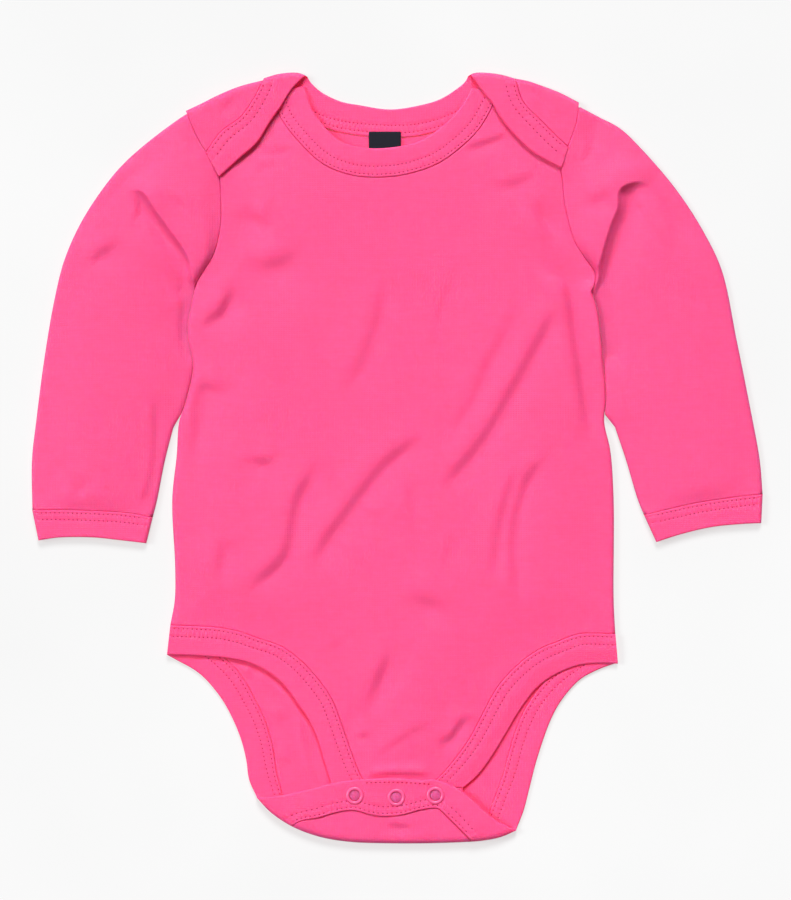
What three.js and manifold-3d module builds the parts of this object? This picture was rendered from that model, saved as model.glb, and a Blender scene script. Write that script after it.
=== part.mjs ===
// A baby's long-sleeved jersey bodysuit with an envelope neck, laid flat, front side up.
// Millimetres. +X is the viewer's right, +Y points to the neck, +Z up; the surface is z = 0.
// Each cut piece is a wall of cloth. Lying on each other they are, from the surface up: back,
// front, then the back's shoulder laps and crotch flap, which fold forward over the front.

import * as THREE from 'three';
import { mergeVertices } from 'three/addons/utils/BufferGeometryUtils.js';
import Module from 'manifold-3d';

const wasm = await Module();
wasm.setup();

// Cloth
const CLOTH = 1.1; // jersey wall of the back
const FRONT_WALL = 1.3; // the front's wall, measured upright through its folds
const BINDING = 1.9; // folded binding strips
const GAP = 0.3; // between pieces that are sewn together or lie on each other
const BAND = 1.6; // snap bands

// Heights of the layers' undersides
const FRONT_Z = BINDING + GAP;
const LAP_Z = 4.4;
const FLAP_Z = 5.2;
const LABEL_Z = BINDING + GAP;
const LABEL_THICK = 0.9;
const STUD_Z = FRONT_Z + BAND + GAP;
const STUD_TALL = FLAP_Z - GAP - STUD_Z;
const RING_Z = FLAP_Z + BAND + GAP;

// How far the front rises off the back away from its seams, and over what distance
const LOFT = 2.4;
const LOFT_REACH = 24;
const FOLD_END = 9; // folds fade out over this distance from a held edge

// Sleeves: height at the fold edges, extra height inside, deepest hollow inside
const SLEEVE_EDGE = 3.3;
const SLEEVE_LOFT = 2.3;
const SLEEVE_REACH = 13;
const SLEEVE_WALL = 1.2;
const SLEEVE_HOLLOW_TOP = 4.9;
const CUFF_TALL = 5.2;
const CUFF_WALL = 1.7;

// Ring snaps
const RING_OUTER = 4.8;
const RING_INNER = 3.1;
const RING_THICK = 0.8;
const STUD_RADIUS = 4.2;

// Steps along curves and across grids
const STEP = 7;
const GRID = 11.5;
const SLEEVE_GRID = 9.5;
const FOLD_TURNS = 6; // facets round a folded edge
const BEYOND = 6; // how far a hollow's cut runs past the open ends
const TALL = 40; // half height of the prisms that cut

const PINK = { color: 0xfd659a, roughness: 0.95, metalness: 0 };
const PINK_TRIM = { color: 0xf85b92, roughness: 0.95, metalness: 0 };
const NAVY = { color: 0x23283a, roughness: 0.85, metalness: 0 };
const SNAP_PINK = { color: 0xff6aa0, roughness: 0.4, metalness: 0 };

// Curves of the flat pattern, as [x, y] points from the top or from the left
const ARMHOLE = {
  left: [[-116.5, 191], [-111, 178], [-105.3, 168], [-98.7, 157], [-97.2, 142], [-97.4, 128],
    [-101, 112.5], [-107, 102.5], [-111.4, 95]],
  right: [[99.8, 195], [98.5, 185], [93.8, 171], [90.2, 160], [90.8, 152], [92.4, 138],
    [97.6, 119], [103, 110.5], [109, 101], [107, 91.5]],
};
const SIDE = {
  left: [[-111.4, 95], [-115.8, 69], [-112.6, 51], [-116.3, 32], [-120.2, 20], [-121.5, 2],
    [-124, -23], [-122.4, -60], [-122.6, -78], [-125, -91.4]],
  right: [[107, 91.5], [110.3, 81], [113, 57], [114.7, 32], [113.8, 20], [117.2, 4], [119, -23],
    [119, -78], [119.9, -96.2]],
};
const SHOULDER_FOLD = {
  left: [[-116.5, 191], [-108.6, 194.7], [-97.6, 200.2], [-86.6, 204.6], [-73.4, 207.6]],
  right: [[64.6, 208.5], [71.2, 207.6], [78.4, 205.2], [89.4, 201], [99.8, 195.6]],
};
const NECK_FOLD = {
  left: [[-73.4, 209], [-65, 211.4], [-53.6, 211.8], [-49, 209.4]],
  right: [[37.8, 209.4], [42, 211.8], [51, 211.8], [58, 210.7], [64.5, 208.8]],
};
const LAP_SEAM = {
  left: [[-73.5, 209], [-78.4, 198.6], [-86.1, 187.6], [-97.1, 179.3], [-105.3, 168]],
  right: [[64.6, 209], [69, 195.8], [78.4, 185.9], [88.3, 176], [93.8, 171]],
};
const LAP_EDGE = {
  left: [[-51.5, 209], [-57.5, 203.5], [-64.6, 192.5], [-70.1, 184.8], [-77.3, 173.3],
    [-86.6, 165], [-98, 154.6]],
  right: [[41.3, 209], [47, 201.3], [52, 195.3], [56.4, 187.6], [61.9, 180.4], [72.9, 169.4],
    [79.5, 165], [90, 159.5]],
};
const BACK_NECK_EDGE = [[-50, 209], [-42.6, 201.9], [-31.6, 196.4], [-20.6, 194.2], [-4, 191.9],
  [12.4, 194.2], [23.4, 197.5], [33, 203.5], [39.5, 209]];
const BACK_NECK_SEAM = [[-73.5, 209], [-63, 196], [-51, 186.5], [-36, 180.4], [-20, 177.4],
  [-4, 176.4], [12, 177.4], [27, 181.6], [40, 188.5], [53, 198], [64.6, 209]];
const FRONT_NECK_EDGE = [[-51.8, 204.5], [-49.8, 200.8], [-47.6, 193.1], [-41.5, 183.7],
  [-31.6, 174.4], [-16.2, 170.4], [2.5, 171.6], [12.4, 174.4], [23.4, 181.5], [34.4, 192.5],
  [41, 203.5]];
const FRONT_NECK_SEAM = [[-69, 200.5], [-64.1, 187], [-53.6, 173.3], [-41, 161.7], [-26.1, 155.7],
  [-9.6, 154.3], [6.9, 156.4], [23.4, 162.5], [38.2, 173.8], [46.5, 183.2], [56, 201]];
// The front's upper edge, hidden under the laps
const FRONT_SHOULDER = [[-140, 150], [-112, 187], [-97, 194], [-68, 202], [56, 203], [90, 195],
  [96, 190], [120, 150]];
const LEG_SEAM = {
  left: [[-125, -92], [-108.6, -92.6], [-97.6, -93.4], [-86.6, -95.7], [-75.6, -99.6],
    [-64.6, -103.4], [-53.6, -111.1], [-42.6, -123.2], [-36, -133.1], [-31.6, -144.1],
    [-27.8, -155.1], [-21.7, -171.6], [-17, -181]],
  right: [[119.9, -96.8], [100.4, -96.8], [87.7, -101.2], [78.4, -105.1], [67.4, -112.8],
    [56.4, -124.3], [50.9, -133.1], [44.3, -145.8], [39.9, -154], [30, -167.8], [18, -181]],
};
const LEG_EDGE = {
  left: [[-126.8, -108.2], [-108.6, -108.9], [-97.6, -109.7], [-85, -111.7], [-75.6, -115.2],
    [-64.6, -122.7], [-53.6, -137], [-48.1, -145.2], [-44.3, -153.5], [-41, -164.5],
    [-38.2, -173.3], [-36, -181]],
  right: [[121.3, -113.2], [111.4, -113], [100.4, -114], [89.4, -118], [78.4, -124.9],
    [68.5, -137], [60.2, -150.7], [52.5, -163.4], [44.3, -174.4], [37, -181]],
};
const BACK_LEG_SEAM = {
  left: [[-125.2, -93.5], [-112, -98], [-103, -103.5], [-91, -114], [-84, -123], [-78, -134],
    [-73.6, -143], [-69, -158], [-66.4, -174.4], [-62, -190], [-58, -202.5]],
  right: [[119.9, -97.2], [108, -104], [98, -110], [88, -117], [80, -124.5], [71, -137],
    [65.5, -149], [61.5, -162], [58, -175], [52.5, -190], [45.4, -210.7]],
};
const BACK_LEG_EDGE = {
  left: [[-126.8, -108.4], [-121, -111.6], [-111.9, -116.6], [-105.3, -122.1], [-96.5, -133.1],
    [-90.5, -144.1], [-86.1, -155.1], [-83.3, -166.1], [-81.7, -177.1], [-77.3, -187]],
  right: [[121.3, -112.6], [110.3, -116.6], [100.4, -122.1], [90.5, -133.1], [84.4, -144.1],
    [76.7, -166.1], [72.6, -182], [69.6, -193.6], [65.2, -205]],
};
const BOTTOM_FOLD = [[-77.3, -187], [-70.1, -194.7], [-57.5, -203], [-42.6, -208.5],
  [-26.1, -211.2], [-9.6, -211.9], [14, -212], [34.4, -211.4], [45.4, -210.7], [56.4, -208.7],
  [65.2, -205]];
const FLAP_EDGE = [[-77.3, -187], [-66.3, -185.9], [-50.9, -182.6], [-36, -178.8],
  [-26.1, -177.1], [-10, -176], [1.4, -176], [12.4, -177], [20.6, -176.8], [30, -179.9],
  [35.5, -183.2], [41.5, -188.1], [52.5, -198], [65.2, -205]];
const BAND_SEAM = [[-58, -202.5], [-53.6, -199.7], [-42.6, -197.5], [-35.5, -195.3],
  [-24.5, -193.6], [-14, -196.2], [-8, -196.9], [1.4, -196.4], [14, -193.1], [22.3, -192.6],
  [25, -194.7], [36, -205.7], [41.5, -211]];
// Where the leg bindings end and the snap band begins, as lines across the band
const BAND_JOINS = { left: [[-36, -160], [-36, -230]], right: [[36, -160], [15, -232]] };
const HIDDEN_BAND = { left: -35.6, right: 36, top: -181.3, bottom: -195.5 };

// Sleeves: outer fold from shoulder to cuff, inner edge from underarm to cuff, cuff seam and hem
const SLEEVE_OUTER = {
  left: [[-116.8, 191.2], [-121.8, 185.9], [-136.1, 174.9], [-148.8, 163.9], [-158.7, 152.9],
    [-173.5, 130.9], [-183.4, 108.9], [-188.9, 86.9], [-194.5, 54], [-198.8, 20.9],
    [-201.2, -1], [-201, -28.8]],
  right: [[100.1, 195.2], [111.4, 187.6], [122.4, 181.5], [135, 169.4], [153.7, 147.4],
    [168, 125.4], [178.5, 103.4], [186.7, 64.9], [194.4, 26.4], [199.4, -1], [201, -20]],
};
const SLEEVE_INNER = {
  left: [[-112.2, 94.5], [-116.7, 69], [-113.6, 51], [-117.6, 36], [-121.3, 24], [-127.9, -1],
    [-132.3, -23.1], [-134.7, -32.7]],
  right: [[108, 91], [111.3, 81], [114.1, 57], [115.8, 32], [118.5, 20.9], [125.7, -1],
    [132.3, -23.1], [135.6, -31.4]],
};
const CUFF_SEAM = {
  left: [[-201, -28.8], [-190, -28.5], [-148.8, -30.2], [-134.7, -32.7]],
  right: [[201, -20], [190, -21], [164.7, -24.8], [135.6, -31.4]],
};
const CUFF_HEM = {
  left: [[-197.6, -45.4], [-186.7, -43.8], [-167.5, -43.7], [-153.7, -45.1], [-138.2, -46.9]],
  right: [[200.2, -35.8], [190, -36.3], [173, -38], [156.5, -41.8], [142.4, -46.3]],
};

// The fold across each sleeve cap: its raised lip, and how far it stands over the hollow beside it
const CAP_FOLD = {
  left: [[-142, 148.5], [-131.7, 134.8], [-123.5, 123.2], [-114.1, 110], [-109, 86]],
  right: [[122.5, 148.5], [120.7, 137.5], [113, 115], [110, 99], [104, 84]],
};
const CAP_LIP = 3;
const CAP_LIP_WIDTH = 26;
const CAP_HOLLOW = 2.4;
const CAP_HOLLOW_WIDTH = 9;
const CAP_RUN_IN = 22;
const CAP_STEP = 5;

// The largest folds, as soft troughs: depth, half width and the route of the bottom
const FRONT_FOLDS = [
  { depth: 2.3, width: 8, route: [[89.4, 88.6], [78.4, 66.6], [63.5, 39], [45.4, 8.8], [21.7, -19.3]] },
  { depth: 1.2, width: 8, route: [[65.7, 88.6], [58, 68.8], [47, 48.4], [39.9, 30.3], [27.2, 13.8]] },
  { depth: 0.9, width: 9, route: [[-9.6, 107.3], [-10.7, 81.4], [-22.3, 48.4], [-33.3, 33.6]] },
  { depth: 1.4, width: 8, route: [[-42.6, 0.6], [-55.3, -23.1], [-63, -54.5], [-86.6, -74.3]] },
  { depth: 1.2, width: 8, route: [[16.2, 15.4], [-8, -3.9], [-26.1, -27], [-42.6, -50.6], [-46.5, -65.5]] },
  { depth: 1.4, width: 7, route: [[83.9, 4.4], [71.2, -12.1], [63, -43.5], [65.7, -82]] },
  { depth: 0.9, width: 7, route: [[65.7, -1.1], [54.7, -41.3], [52.5, -68.8]] },
  { depth: 1.1, width: 8, route: [[-4.1, -98.5], [-8, -115], [-19, -142.5]] },
  { depth: 1.3, width: 6, route: [[45.4, -144.1], [36, -145.2], [30, -153.5], [19, -158.4]] },
  { depth: 1.7, width: 8, route: [[74.5, 103.4], [91, 96.3], [96.5, 68.8], [102, 31.9], [107.5, 8.3]] },
  { depth: 1.5, width: 8, route: [[-112.5, 68.8], [-103.1, 75.9], [-96, 81.4], [-90.5, 99.6]] },
  { depth: 1.1, width: 8, route: [[-88.3, 42.9], [-99.3, 37.4], [-108.6, 39], [-112, -5]] },
];
const SLEEVE_FOLDS = {
  left: [
    { depth: 1.1, width: 8, route: [[-149.3, 120.5], [-165.3, 110.6], [-172.4, 101.8]] },
    { depth: 1.2, width: 6, route: [[-124.6, 95.7], [-117.4, 85.8], [-114.7, 79.8]] },
    { depth: 0.9, width: 6, route: [[-135, 30.8], [-133.4, 10.5]] },
    { depth: 0.8, width: 7, route: [[-179.6, -11], [-176.8, -19.8], [-172.4, -25.3]] },
  ],
  right: [
    { depth: 1.1, width: 8, route: [[140.5, 149.6], [153.2, 123.2], [163.6, 108.9]] },
    { depth: 1.0, width: 7, route: [[121.6, 145.2], [110.3, 143], [101.5, 134.8]] },
  ],
};
const SNAP_CENTRES = [[-23.5, -185.5], [-0.7, -186.5], [20.8, -185.4]];
const LABEL = { left: -15.8, right: 1.9, top: 179.6, bottom: 166 };

// Plane curves

function curveThrough(points) {
  const vectors = points.map(([x, y]) => new THREE.Vector3(x, y, 0));
  return new THREE.CatmullRomCurve3(vectors, false, 'centripetal');
}

function evenly(points, count) {
  return curveThrough(points).getSpacedPoints(count).map((p) => [p.x, p.y]);
}

function stepsAlong(points, step) {
  return Math.max(2, Math.round(curveThrough(points).getLength() / step));
}

function smooth(points, step = STEP) {
  return evenly(points, stepsAlong(points, step));
}

function reversed(points) {
  return [...points].reverse();
}

// The same line moved sideways, to the left of its direction
function beside(line, distance) {
  return line.map((point, i) => {
    const before = line[Math.max(0, i - 1)];
    const after = line[Math.min(line.length - 1, i + 1)];
    const dx = after[0] - before[0];
    const dy = after[1] - before[1];
    const length = Math.hypot(dx, dy);
    return [point[0] - (dy / length) * distance, point[1] + (dx / length) * distance];
  });
}

function moved(line, dx, dy) {
  return line.map(([x, y]) => [x + dx, y + dy]);
}

// Distance from a point to a line of points, how far along the nearest place is, and its side:
// +1 to the left of the line's direction, -1 to the right
function nearest(line, x, y) {
  let best = { distance: Infinity, along: 0, side: 1 };
  let run = 0;
  for (let i = 0; i + 1 < line.length; i += 1) {
    const [ax, ay] = line[i];
    const dx = line[i + 1][0] - ax;
    const dy = line[i + 1][1] - ay;
    const length = Math.hypot(dx, dy);
    const t = THREE.MathUtils.clamp(((x - ax) * dx + (y - ay) * dy) / (length * length), 0, 1);
    const distance = Math.hypot(x - ax - t * dx, y - ay - t * dy);
    if (distance < best.distance) {
      const side = Math.sign(dx * (y - ay) - dy * (x - ax)) || 1;
      best = { distance, along: run + t * length, side };
    }
    run += length;
  }
  return { ...best, length: run };
}

function inside(outline, x, y) {
  let within = false;
  for (let i = 0, j = outline.length - 1; i < outline.length; j = i, i += 1) {
    const [ax, ay] = outline[i];
    const [bx, by] = outline[j];
    if ((ay > y) !== (by > y) && x < ((bx - ax) * (y - ay)) / (by - ay) + ax) within = !within;
  }
  return within;
}

// A row of troughs, each fading out at its two ends
function troughs(folds) {
  const rows = folds.map((fold) => ({ ...fold, line: smooth(fold.route, 4) }));
  return (x, y) => {
    let depth = 0;
    for (const { line, depth: deepest, width } of rows) {
      const { distance, along, length } = nearest(line, x, y);
      const ends = Math.min(1, along / width, (length - along) / width);
      const fade = 0.25 + 0.75 * Math.max(0, ends);
      depth += deepest * fade * Math.exp(-((distance / width) ** 2));
    }
    return depth;
  };
}

// Solids

function toSolid(geometry) {
  geometry.deleteAttribute('normal');
  geometry.deleteAttribute('uv');
  const merged = mergeVertices(geometry, 1e-4);
  const vertProperties = new Float32Array(merged.attributes.position.array);
  const triVerts = new Uint32Array(merged.index.array);
  if (signedVolume(vertProperties, triVerts) < 0) triVerts.reverse();
  return new wasm.Manifold(new wasm.Mesh({ numProp: 3, vertProperties, triVerts }));
}

function signedVolume(positions, triangles) {
  const corner = (k) => new THREE.Vector3().fromArray(positions, 3 * triangles[k]);
  let volume = 0;
  for (let k = 0; k < triangles.length; k += 3) {
    volume += corner(k).dot(corner(k + 1).cross(corner(k + 2))) / 6;
  }
  return volume;
}

function prism(outline, low = -TALL, high = TALL) {
  const shape = new THREE.Shape(outline.map(([x, y]) => new THREE.Vector2(x, y)));
  const geometry = new THREE.ExtrudeGeometry(shape, { depth: high - low, bevelEnabled: false });
  geometry.translate(0, 0, low);
  return toSolid(geometry);
}

// A closed wall between two grids of points, at(u, v, face), with face 0 below and 1 above
function wall(columns, rows, at) {
  const positions = [];
  const index = [];
  const id = (i, j, face) => (face * (rows + 1) + j) * (columns + 1) + i;
  for (const face of [0, 1]) {
    for (let j = 0; j <= rows; j += 1) {
      for (let i = 0; i <= columns; i += 1) positions.push(...at(i / columns, j / rows, face));
    }
  }
  const quad = (a, b, c, d) => index.push(a, b, c, a, c, d);
  for (let j = 0; j < rows; j += 1) {
    for (let i = 0; i < columns; i += 1) {
      quad(id(i, j, 1), id(i + 1, j, 1), id(i + 1, j + 1, 1), id(i, j + 1, 1));
      quad(id(i, j, 0), id(i, j + 1, 0), id(i + 1, j + 1, 0), id(i + 1, j, 0));
    }
  }
  for (let i = 0; i < columns; i += 1) {
    quad(id(i, 0, 0), id(i + 1, 0, 0), id(i + 1, 0, 1), id(i, 0, 1));
    quad(id(i + 1, rows, 0), id(i, rows, 0), id(i, rows, 1), id(i + 1, rows, 1));
  }
  for (let j = 0; j < rows; j += 1) {
    quad(id(columns, j, 0), id(columns, j + 1, 0), id(columns, j + 1, 1), id(columns, j, 1));
    quad(id(0, j + 1, 0), id(0, j, 0), id(0, j, 1), id(0, j + 1, 1));
  }
  const geometry = new THREE.BufferGeometry();
  geometry.setAttribute('position', new THREE.Float32BufferAttribute(positions, 3));
  geometry.setIndex(index);
  return toSolid(geometry);
}

// Cloth over an outline, between two heights that are functions of x and y
function cloth(outline, low, high, grid) {
  const xs = outline.map((p) => p[0]);
  const ys = outline.map((p) => p[1]);
  const left = Math.min(...xs) - 1;
  const bottom = Math.min(...ys) - 1;
  const wide = Math.max(...xs) + 1 - left;
  const tall = Math.max(...ys) + 1 - bottom;
  const at = (u, v, face) => {
    const x = left + u * wide;
    const y = bottom + v * tall;
    return [x, y, face ? high(x, y) : low(x, y)];
  };
  const block = wall(Math.ceil(wide / grid), Math.ceil(tall / grid), at);
  return block.intersect(prism(outline));
}

// A strip between two edges, two cells wide, on a height that is a function of x and y
function strip(from, to, low, thick) {
  const count = stepsAlong(from, STEP);
  const first = evenly(from, count);
  const second = evenly(to, count);
  const at = (u, v, face) => {
    const i = Math.round(u * count);
    const x = first[i][0] + (second[i][0] - first[i][0]) * v;
    const y = first[i][1] + (second[i][1] - first[i][1]) * v;
    return [x, y, low(x, y) + face * thick];
  };
  return wall(count, 2, at);
}

// Half a pipe along a fold, which joins a layer on the surface to the layer above it.
// The fold runs with the cloth on its right and the open air on its left.
function foldOver(fold, upper, thick) {
  const line = smooth(fold, STEP);
  const outer = (upper + thick) / 2;
  const axis = beside(line, -outer);
  const at = (u, v, face) => {
    const i = Math.round(u * (line.length - 1));
    const angle = (v - 0.5) * Math.PI;
    const radius = face ? outer - thick : outer;
    const reach = (radius / outer) * Math.cos(angle);
    const x = axis[i][0] + (line[i][0] - axis[i][0]) * reach;
    const y = axis[i][1] + (line[i][1] - axis[i][1]) * reach;
    return [x, y, outer + radius * Math.sin(angle)];
  };
  return wall(line.length - 1, FOLD_TURNS, at);
}

function join(pieces) {
  return pieces.reduce((sum, piece) => sum.add(piece));
}

const flat = (height) => () => height;

// Outlines that several pieces share

const SIGN = { left: -1, right: 1 };
const armhole = { left: smooth(ARMHOLE.left), right: smooth(ARMHOLE.right) };

// A fold's line moved in to the middle of its bend, and a little less, so that the layers that it
// joins reach into the bend
function insetFold(fold, upper, thick) {
  return beside(smooth(fold), GAP - (upper + thick) / 2);
}

// The body between the armholes, and down between the seams of the front's leg bindings
const frontOutline = [
  ...armhole.left,
  ...smooth(SIDE.left).slice(1),
  ...beside(smooth(LEG_SEAM.left), GAP).slice(1),
  ...reversed(beside(smooth(LEG_SEAM.right), -GAP)).slice(0, -1),
  ...reversed(smooth(SIDE.right)).slice(0, -1),
  ...reversed(armhole.right),
];

// Where nothing lies on the front and nothing holds it down
const freeOutline = [
  ...smooth(LAP_EDGE.left), ...armhole.left.filter(([, y]) => y < 150), ...smooth(SIDE.left),
  ...smooth(LEG_SEAM.left).filter(([, y]) => y > -176),
  ...reversed(smooth(LEG_SEAM.right)).filter(([, y]) => y > -176), ...reversed(smooth(SIDE.right)),
  ...reversed(armhole.right).filter(([, y]) => y < 155), ...reversed(smooth(LAP_EDGE.right)),
];

const frontTrough = troughs(FRONT_FOLDS);

function frontLow(x, y) {
  if (!inside(freeOutline, x, y)) return FRONT_Z;
  const { distance } = nearest(freeOutline, x, y);
  const loft = LOFT * (1 - Math.exp(-((distance / LOFT_REACH) ** 2)));
  return FRONT_Z + Math.max(0, loft - frontTrough(x, y) * Math.min(1, distance / FOLD_END));
}

// Sub-parts

function backPanel() {
  const outline = [
    ...insetFold(SHOULDER_FOLD.left, LAP_Z, CLOTH),
    ...insetFold(SHOULDER_FOLD.right, LAP_Z, CLOTH),
    ...armhole.right.slice(1),
    ...smooth(SIDE.right).slice(1),
    [130, -100], [130, -190],
    ...insetFold(reversed(BOTTOM_FOLD), FLAP_Z, CLOTH),
    [-130, -190], [-130, -98],
    ...reversed(smooth(SIDE.left)).slice(1),
    ...reversed(armhole.left).slice(1, -1),
  ];
  const neckHole = [...beside(smooth(BACK_NECK_SEAM), -GAP), [65.2, 240], [-74.1, 240]];
  const lower = prism(outline, 0, CLOTH).subtract(prism(neckHole));
  return join([lower, lap('left'), lap('right'), flap()])
    .subtract(legRoom('left')).subtract(legRoom('right'));
}

// What lies outside an armhole
function armholeCut(side) {
  const line = armhole[side];
  const far = SIGN[side] * 250;
  return prism([...line, [far, line.at(-1)[1]], [far, 260], [line[0][0], 260]]);
}

// What lies outside the seam of the back's leg binding, and a gap more
function legRoom(side) {
  const seam = beside(smooth(BACK_LEG_SEAM[side]), -SIGN[side] * GAP);
  const far = SIGN[side] * 150;
  return prism([...seam, [seam.at(-1)[0], -240], [far, -240], [far, seam[0][1]]]);
}

function lap(side) {
  const fold = SHOULDER_FOLD[side];
  const edge = insetFold(fold, LAP_Z, CLOTH);
  const upper = prism([...edge, [edge.at(-1)[0], 140], [edge[0][0], 140]], LAP_Z, LAP_Z + CLOTH);
  return upper.add(foldOver(fold, LAP_Z, CLOTH))
    .subtract(armholeCut(side)).subtract(neckBindingRoom(side));
}

// Room for the neck binding beside a lap, where it passes over the shoulder
function neckBindingRoom(side) {
  const seam = beside(smooth(LAP_SEAM[side]), SIGN[side] * GAP);
  const far = -SIGN[side] * 20;
  return prism([...seam, [seam.at(-1)[0], 120], [far, 120], [far, 240], [seam[0][0], 240]]);
}

// The back's end, folded up over the front as far as the seam of the snap band
function flap() {
  const fold = reversed(BOTTOM_FOLD);
  const edge = insetFold(fold, FLAP_Z, CLOTH);
  const upper = prism([...edge, [edge.at(-1)[0], -180], [edge[0][0], -180]], FLAP_Z, FLAP_Z + CLOTH);
  const seam = beside(smooth(BAND_SEAM), -GAP);
  const underSeam = prism([...seam, [seam.at(-1)[0], -240], [-90, -240], [-90, seam[0][1]]]);
  return upper.add(foldOver(fold, FLAP_Z, CLOTH)).intersect(underSeam);
}

function frontPanel() {
  const neckHole = [...beside(smooth(FRONT_NECK_SEAM), -GAP), [70, 260], [-80, 260]];
  const above = prism([...FRONT_SHOULDER, [140, 260], [-140, 260]]);
  const high = (x, y) => frontLow(x, y) + FRONT_WALL;
  return cloth(frontOutline, frontLow, high, GRID).subtract(prism(neckHole)).subtract(above);
}

function frontNeckBinding() {
  return strip(FRONT_NECK_EDGE, FRONT_NECK_SEAM, frontLow, BINDING);
}

function backNeckBinding() {
  const pieces = [strip(BACK_NECK_EDGE, BACK_NECK_SEAM, flat(0), BINDING)];
  for (const side of ['left', 'right']) {
    const onLap = strip(LAP_SEAM[side], LAP_EDGE[side], flat(LAP_Z), BINDING);
    pieces.push(onLap.subtract(armholeCut(side)));
    pieces.push(foldOver(NECK_FOLD[side], LAP_Z, BINDING));
  }
  const seam = smooth(BACK_NECK_SEAM);
  const around = [[110, seam.at(-1)[1]], [110, 120], [-110, 120], [-110, seam[0][1]]];
  const panelRoom = prism([...seam, ...around], -1, BINDING);
  return join(pieces).subtract(panelRoom);
}

function legBindingFront(side) {
  return strip(LEG_SEAM[side], LEG_EDGE[side], flat(FRONT_Z), BINDING);
}

// The part of the folded-up band on one side of a join line, left or right of the snaps
function bandBeyond(side, gap) {
  const [upper, lower] = moved(BAND_JOINS[side], SIGN[side] * gap, 0);
  const far = SIGN[side] * 150;
  return prism([upper, lower, [far, lower[1]], [far, upper[1]]]);
}

function bandOutline() {
  return [...smooth(FLAP_EDGE), [72, -212], [44, -216], ...reversed(smooth(BAND_SEAM)), [-64, -214],
    [-86, -190]];
}

// Along the leg edge of the back, over the bottom fold, and up the flap's edge to the snap band
function legBindingBack(side) {
  const fold = reversed(BOTTOM_FOLD);
  const outsideFold = [...insetFold(fold, FLAP_Z, BINDING), [-140, -160], [-140, -240], [140, -240],
    [140, -160]];
  const lower = strip(BACK_LEG_SEAM[side], BACK_LEG_EDGE[side], flat(0), BINDING);
  const upper = prism(bandOutline(), FLAP_Z, FLAP_Z + BINDING).intersect(bandBeyond(side, 0));
  const seam = smooth(BACK_LEG_SEAM[side]);
  const far = SIGN[side] * 150;
  const bend = foldOver(fold, FLAP_Z, BINDING)
    .intersect(prism([...seam, [seam.at(-1)[0], -240], [far, -240], [far, seam[0][1]]]));
  return join([lower, upper]).subtract(prism(outsideFold)).add(bend);
}

function sleeve(side) {
  const outerLine = smooth(SLEEVE_OUTER[side]);
  const innerLine = smooth(SLEEVE_INNER[side]);
  const sign = SIGN[side];
  const hole = moved(armhole[side], sign * GAP, 0);
  const seam = smooth(CUFF_SEAM[side]);
  const lowerHalf = [...outerLine, ...seam.slice(1, -1), ...reversed(innerLine)];
  const outline = [...lowerHalf, ...reversed(hole).slice(1, -1)];
  const lip = smooth(CAP_FOLD[side], 4);
  const trough = troughs(SLEEVE_FOLDS[side]);
  const high = (x, y) => {
    const outer = nearest(outerLine, x, y).distance;
    const inner = nearest(innerLine, x, y).distance;
    const distance = Math.min(outer, inner);
    const loft = SLEEVE_LOFT * (1 - Math.exp(-((distance / SLEEVE_REACH) ** 2)));
    const fold = nearest(lip, x, y);
    const run = THREE.MathUtils.smoothstep(fold.along, 0, CAP_RUN_IN);
    const capShare = THREE.MathUtils.smoothstep(fold.distance * fold.side * sign, -CAP_STEP, CAP_STEP);
    const lipRise = CAP_LIP * Math.exp(-((fold.distance / CAP_LIP_WIDTH) ** 2));
    const hollowFall = CAP_HOLLOW * Math.exp(-((fold.distance / CAP_HOLLOW_WIDTH) ** 2));
    const rise = lipRise * capShare - hollowFall * (1 - capShare);
    const height = SLEEVE_EDGE + loft + rise * run - trough(x, y) * Math.min(1, distance / FOLD_END);
    return Math.max(SLEEVE_EDGE - 0.3, height);
  };
  const solid = cloth(outline, flat(0), high, SLEEVE_GRID);
  const hollowOuter = beside(outerLine, -sign * SLEEVE_WALL);
  const hollowInner = beside(innerLine, sign * SLEEVE_WALL);
  const hollow = [
    ...moved(hollowOuter.slice(0, 1), -sign * BEYOND, 4), ...hollowOuter,
    ...moved(hollowOuter.slice(-1), 0, -BEYOND), ...moved(hollowInner.slice(-1), 0, -BEYOND),
    ...reversed(hollowInner), ...moved(reversed(armhole[side]), -sign * BEYOND, 0),
  ];
  const hollowHigh = (x, y) => Math.min(SLEEVE_HOLLOW_TOP, high(x, y) - SLEEVE_WALL);
  const room = cloth(hollow, flat(SLEEVE_WALL), hollowHigh, SLEEVE_GRID);
  return solid.subtract(room);
}

function cuff(side) {
  const sign = SIGN[side];
  const seam = moved(smooth(CUFF_SEAM[side]), 0, -GAP);
  const hem = smooth(CUFF_HEM[side]);
  const outline = [...seam, ...reversed(hem)];
  const inset = sign * -CUFF_WALL;
  const room = [
    [seam[0][0] + inset, seam[0][1] + BEYOND], [hem[0][0] + inset, hem[0][1] - BEYOND],
    [hem.at(-1)[0] - inset, hem.at(-1)[1] - BEYOND],
    [seam.at(-1)[0] - inset, seam.at(-1)[1] + BEYOND],
  ];
  return prism(outline, 0, CUFF_TALL).subtract(prism(room, CUFF_WALL, CUFF_TALL - CUFF_WALL));
}

function backSnapPlacket() {
  return prism(bandOutline(), FLAP_Z, FLAP_Z + BAND)
    .subtract(bandBeyond('left', -GAP)).subtract(bandBeyond('right', -GAP));
}

function rectangle({ left, right, top, bottom }) {
  return [[left, bottom], [right, bottom], [right, top], [left, top]];
}

function frontSnapPlacket() {
  return prism(rectangle(HIDDEN_BAND), FRONT_Z, FRONT_Z + BAND);
}

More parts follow.
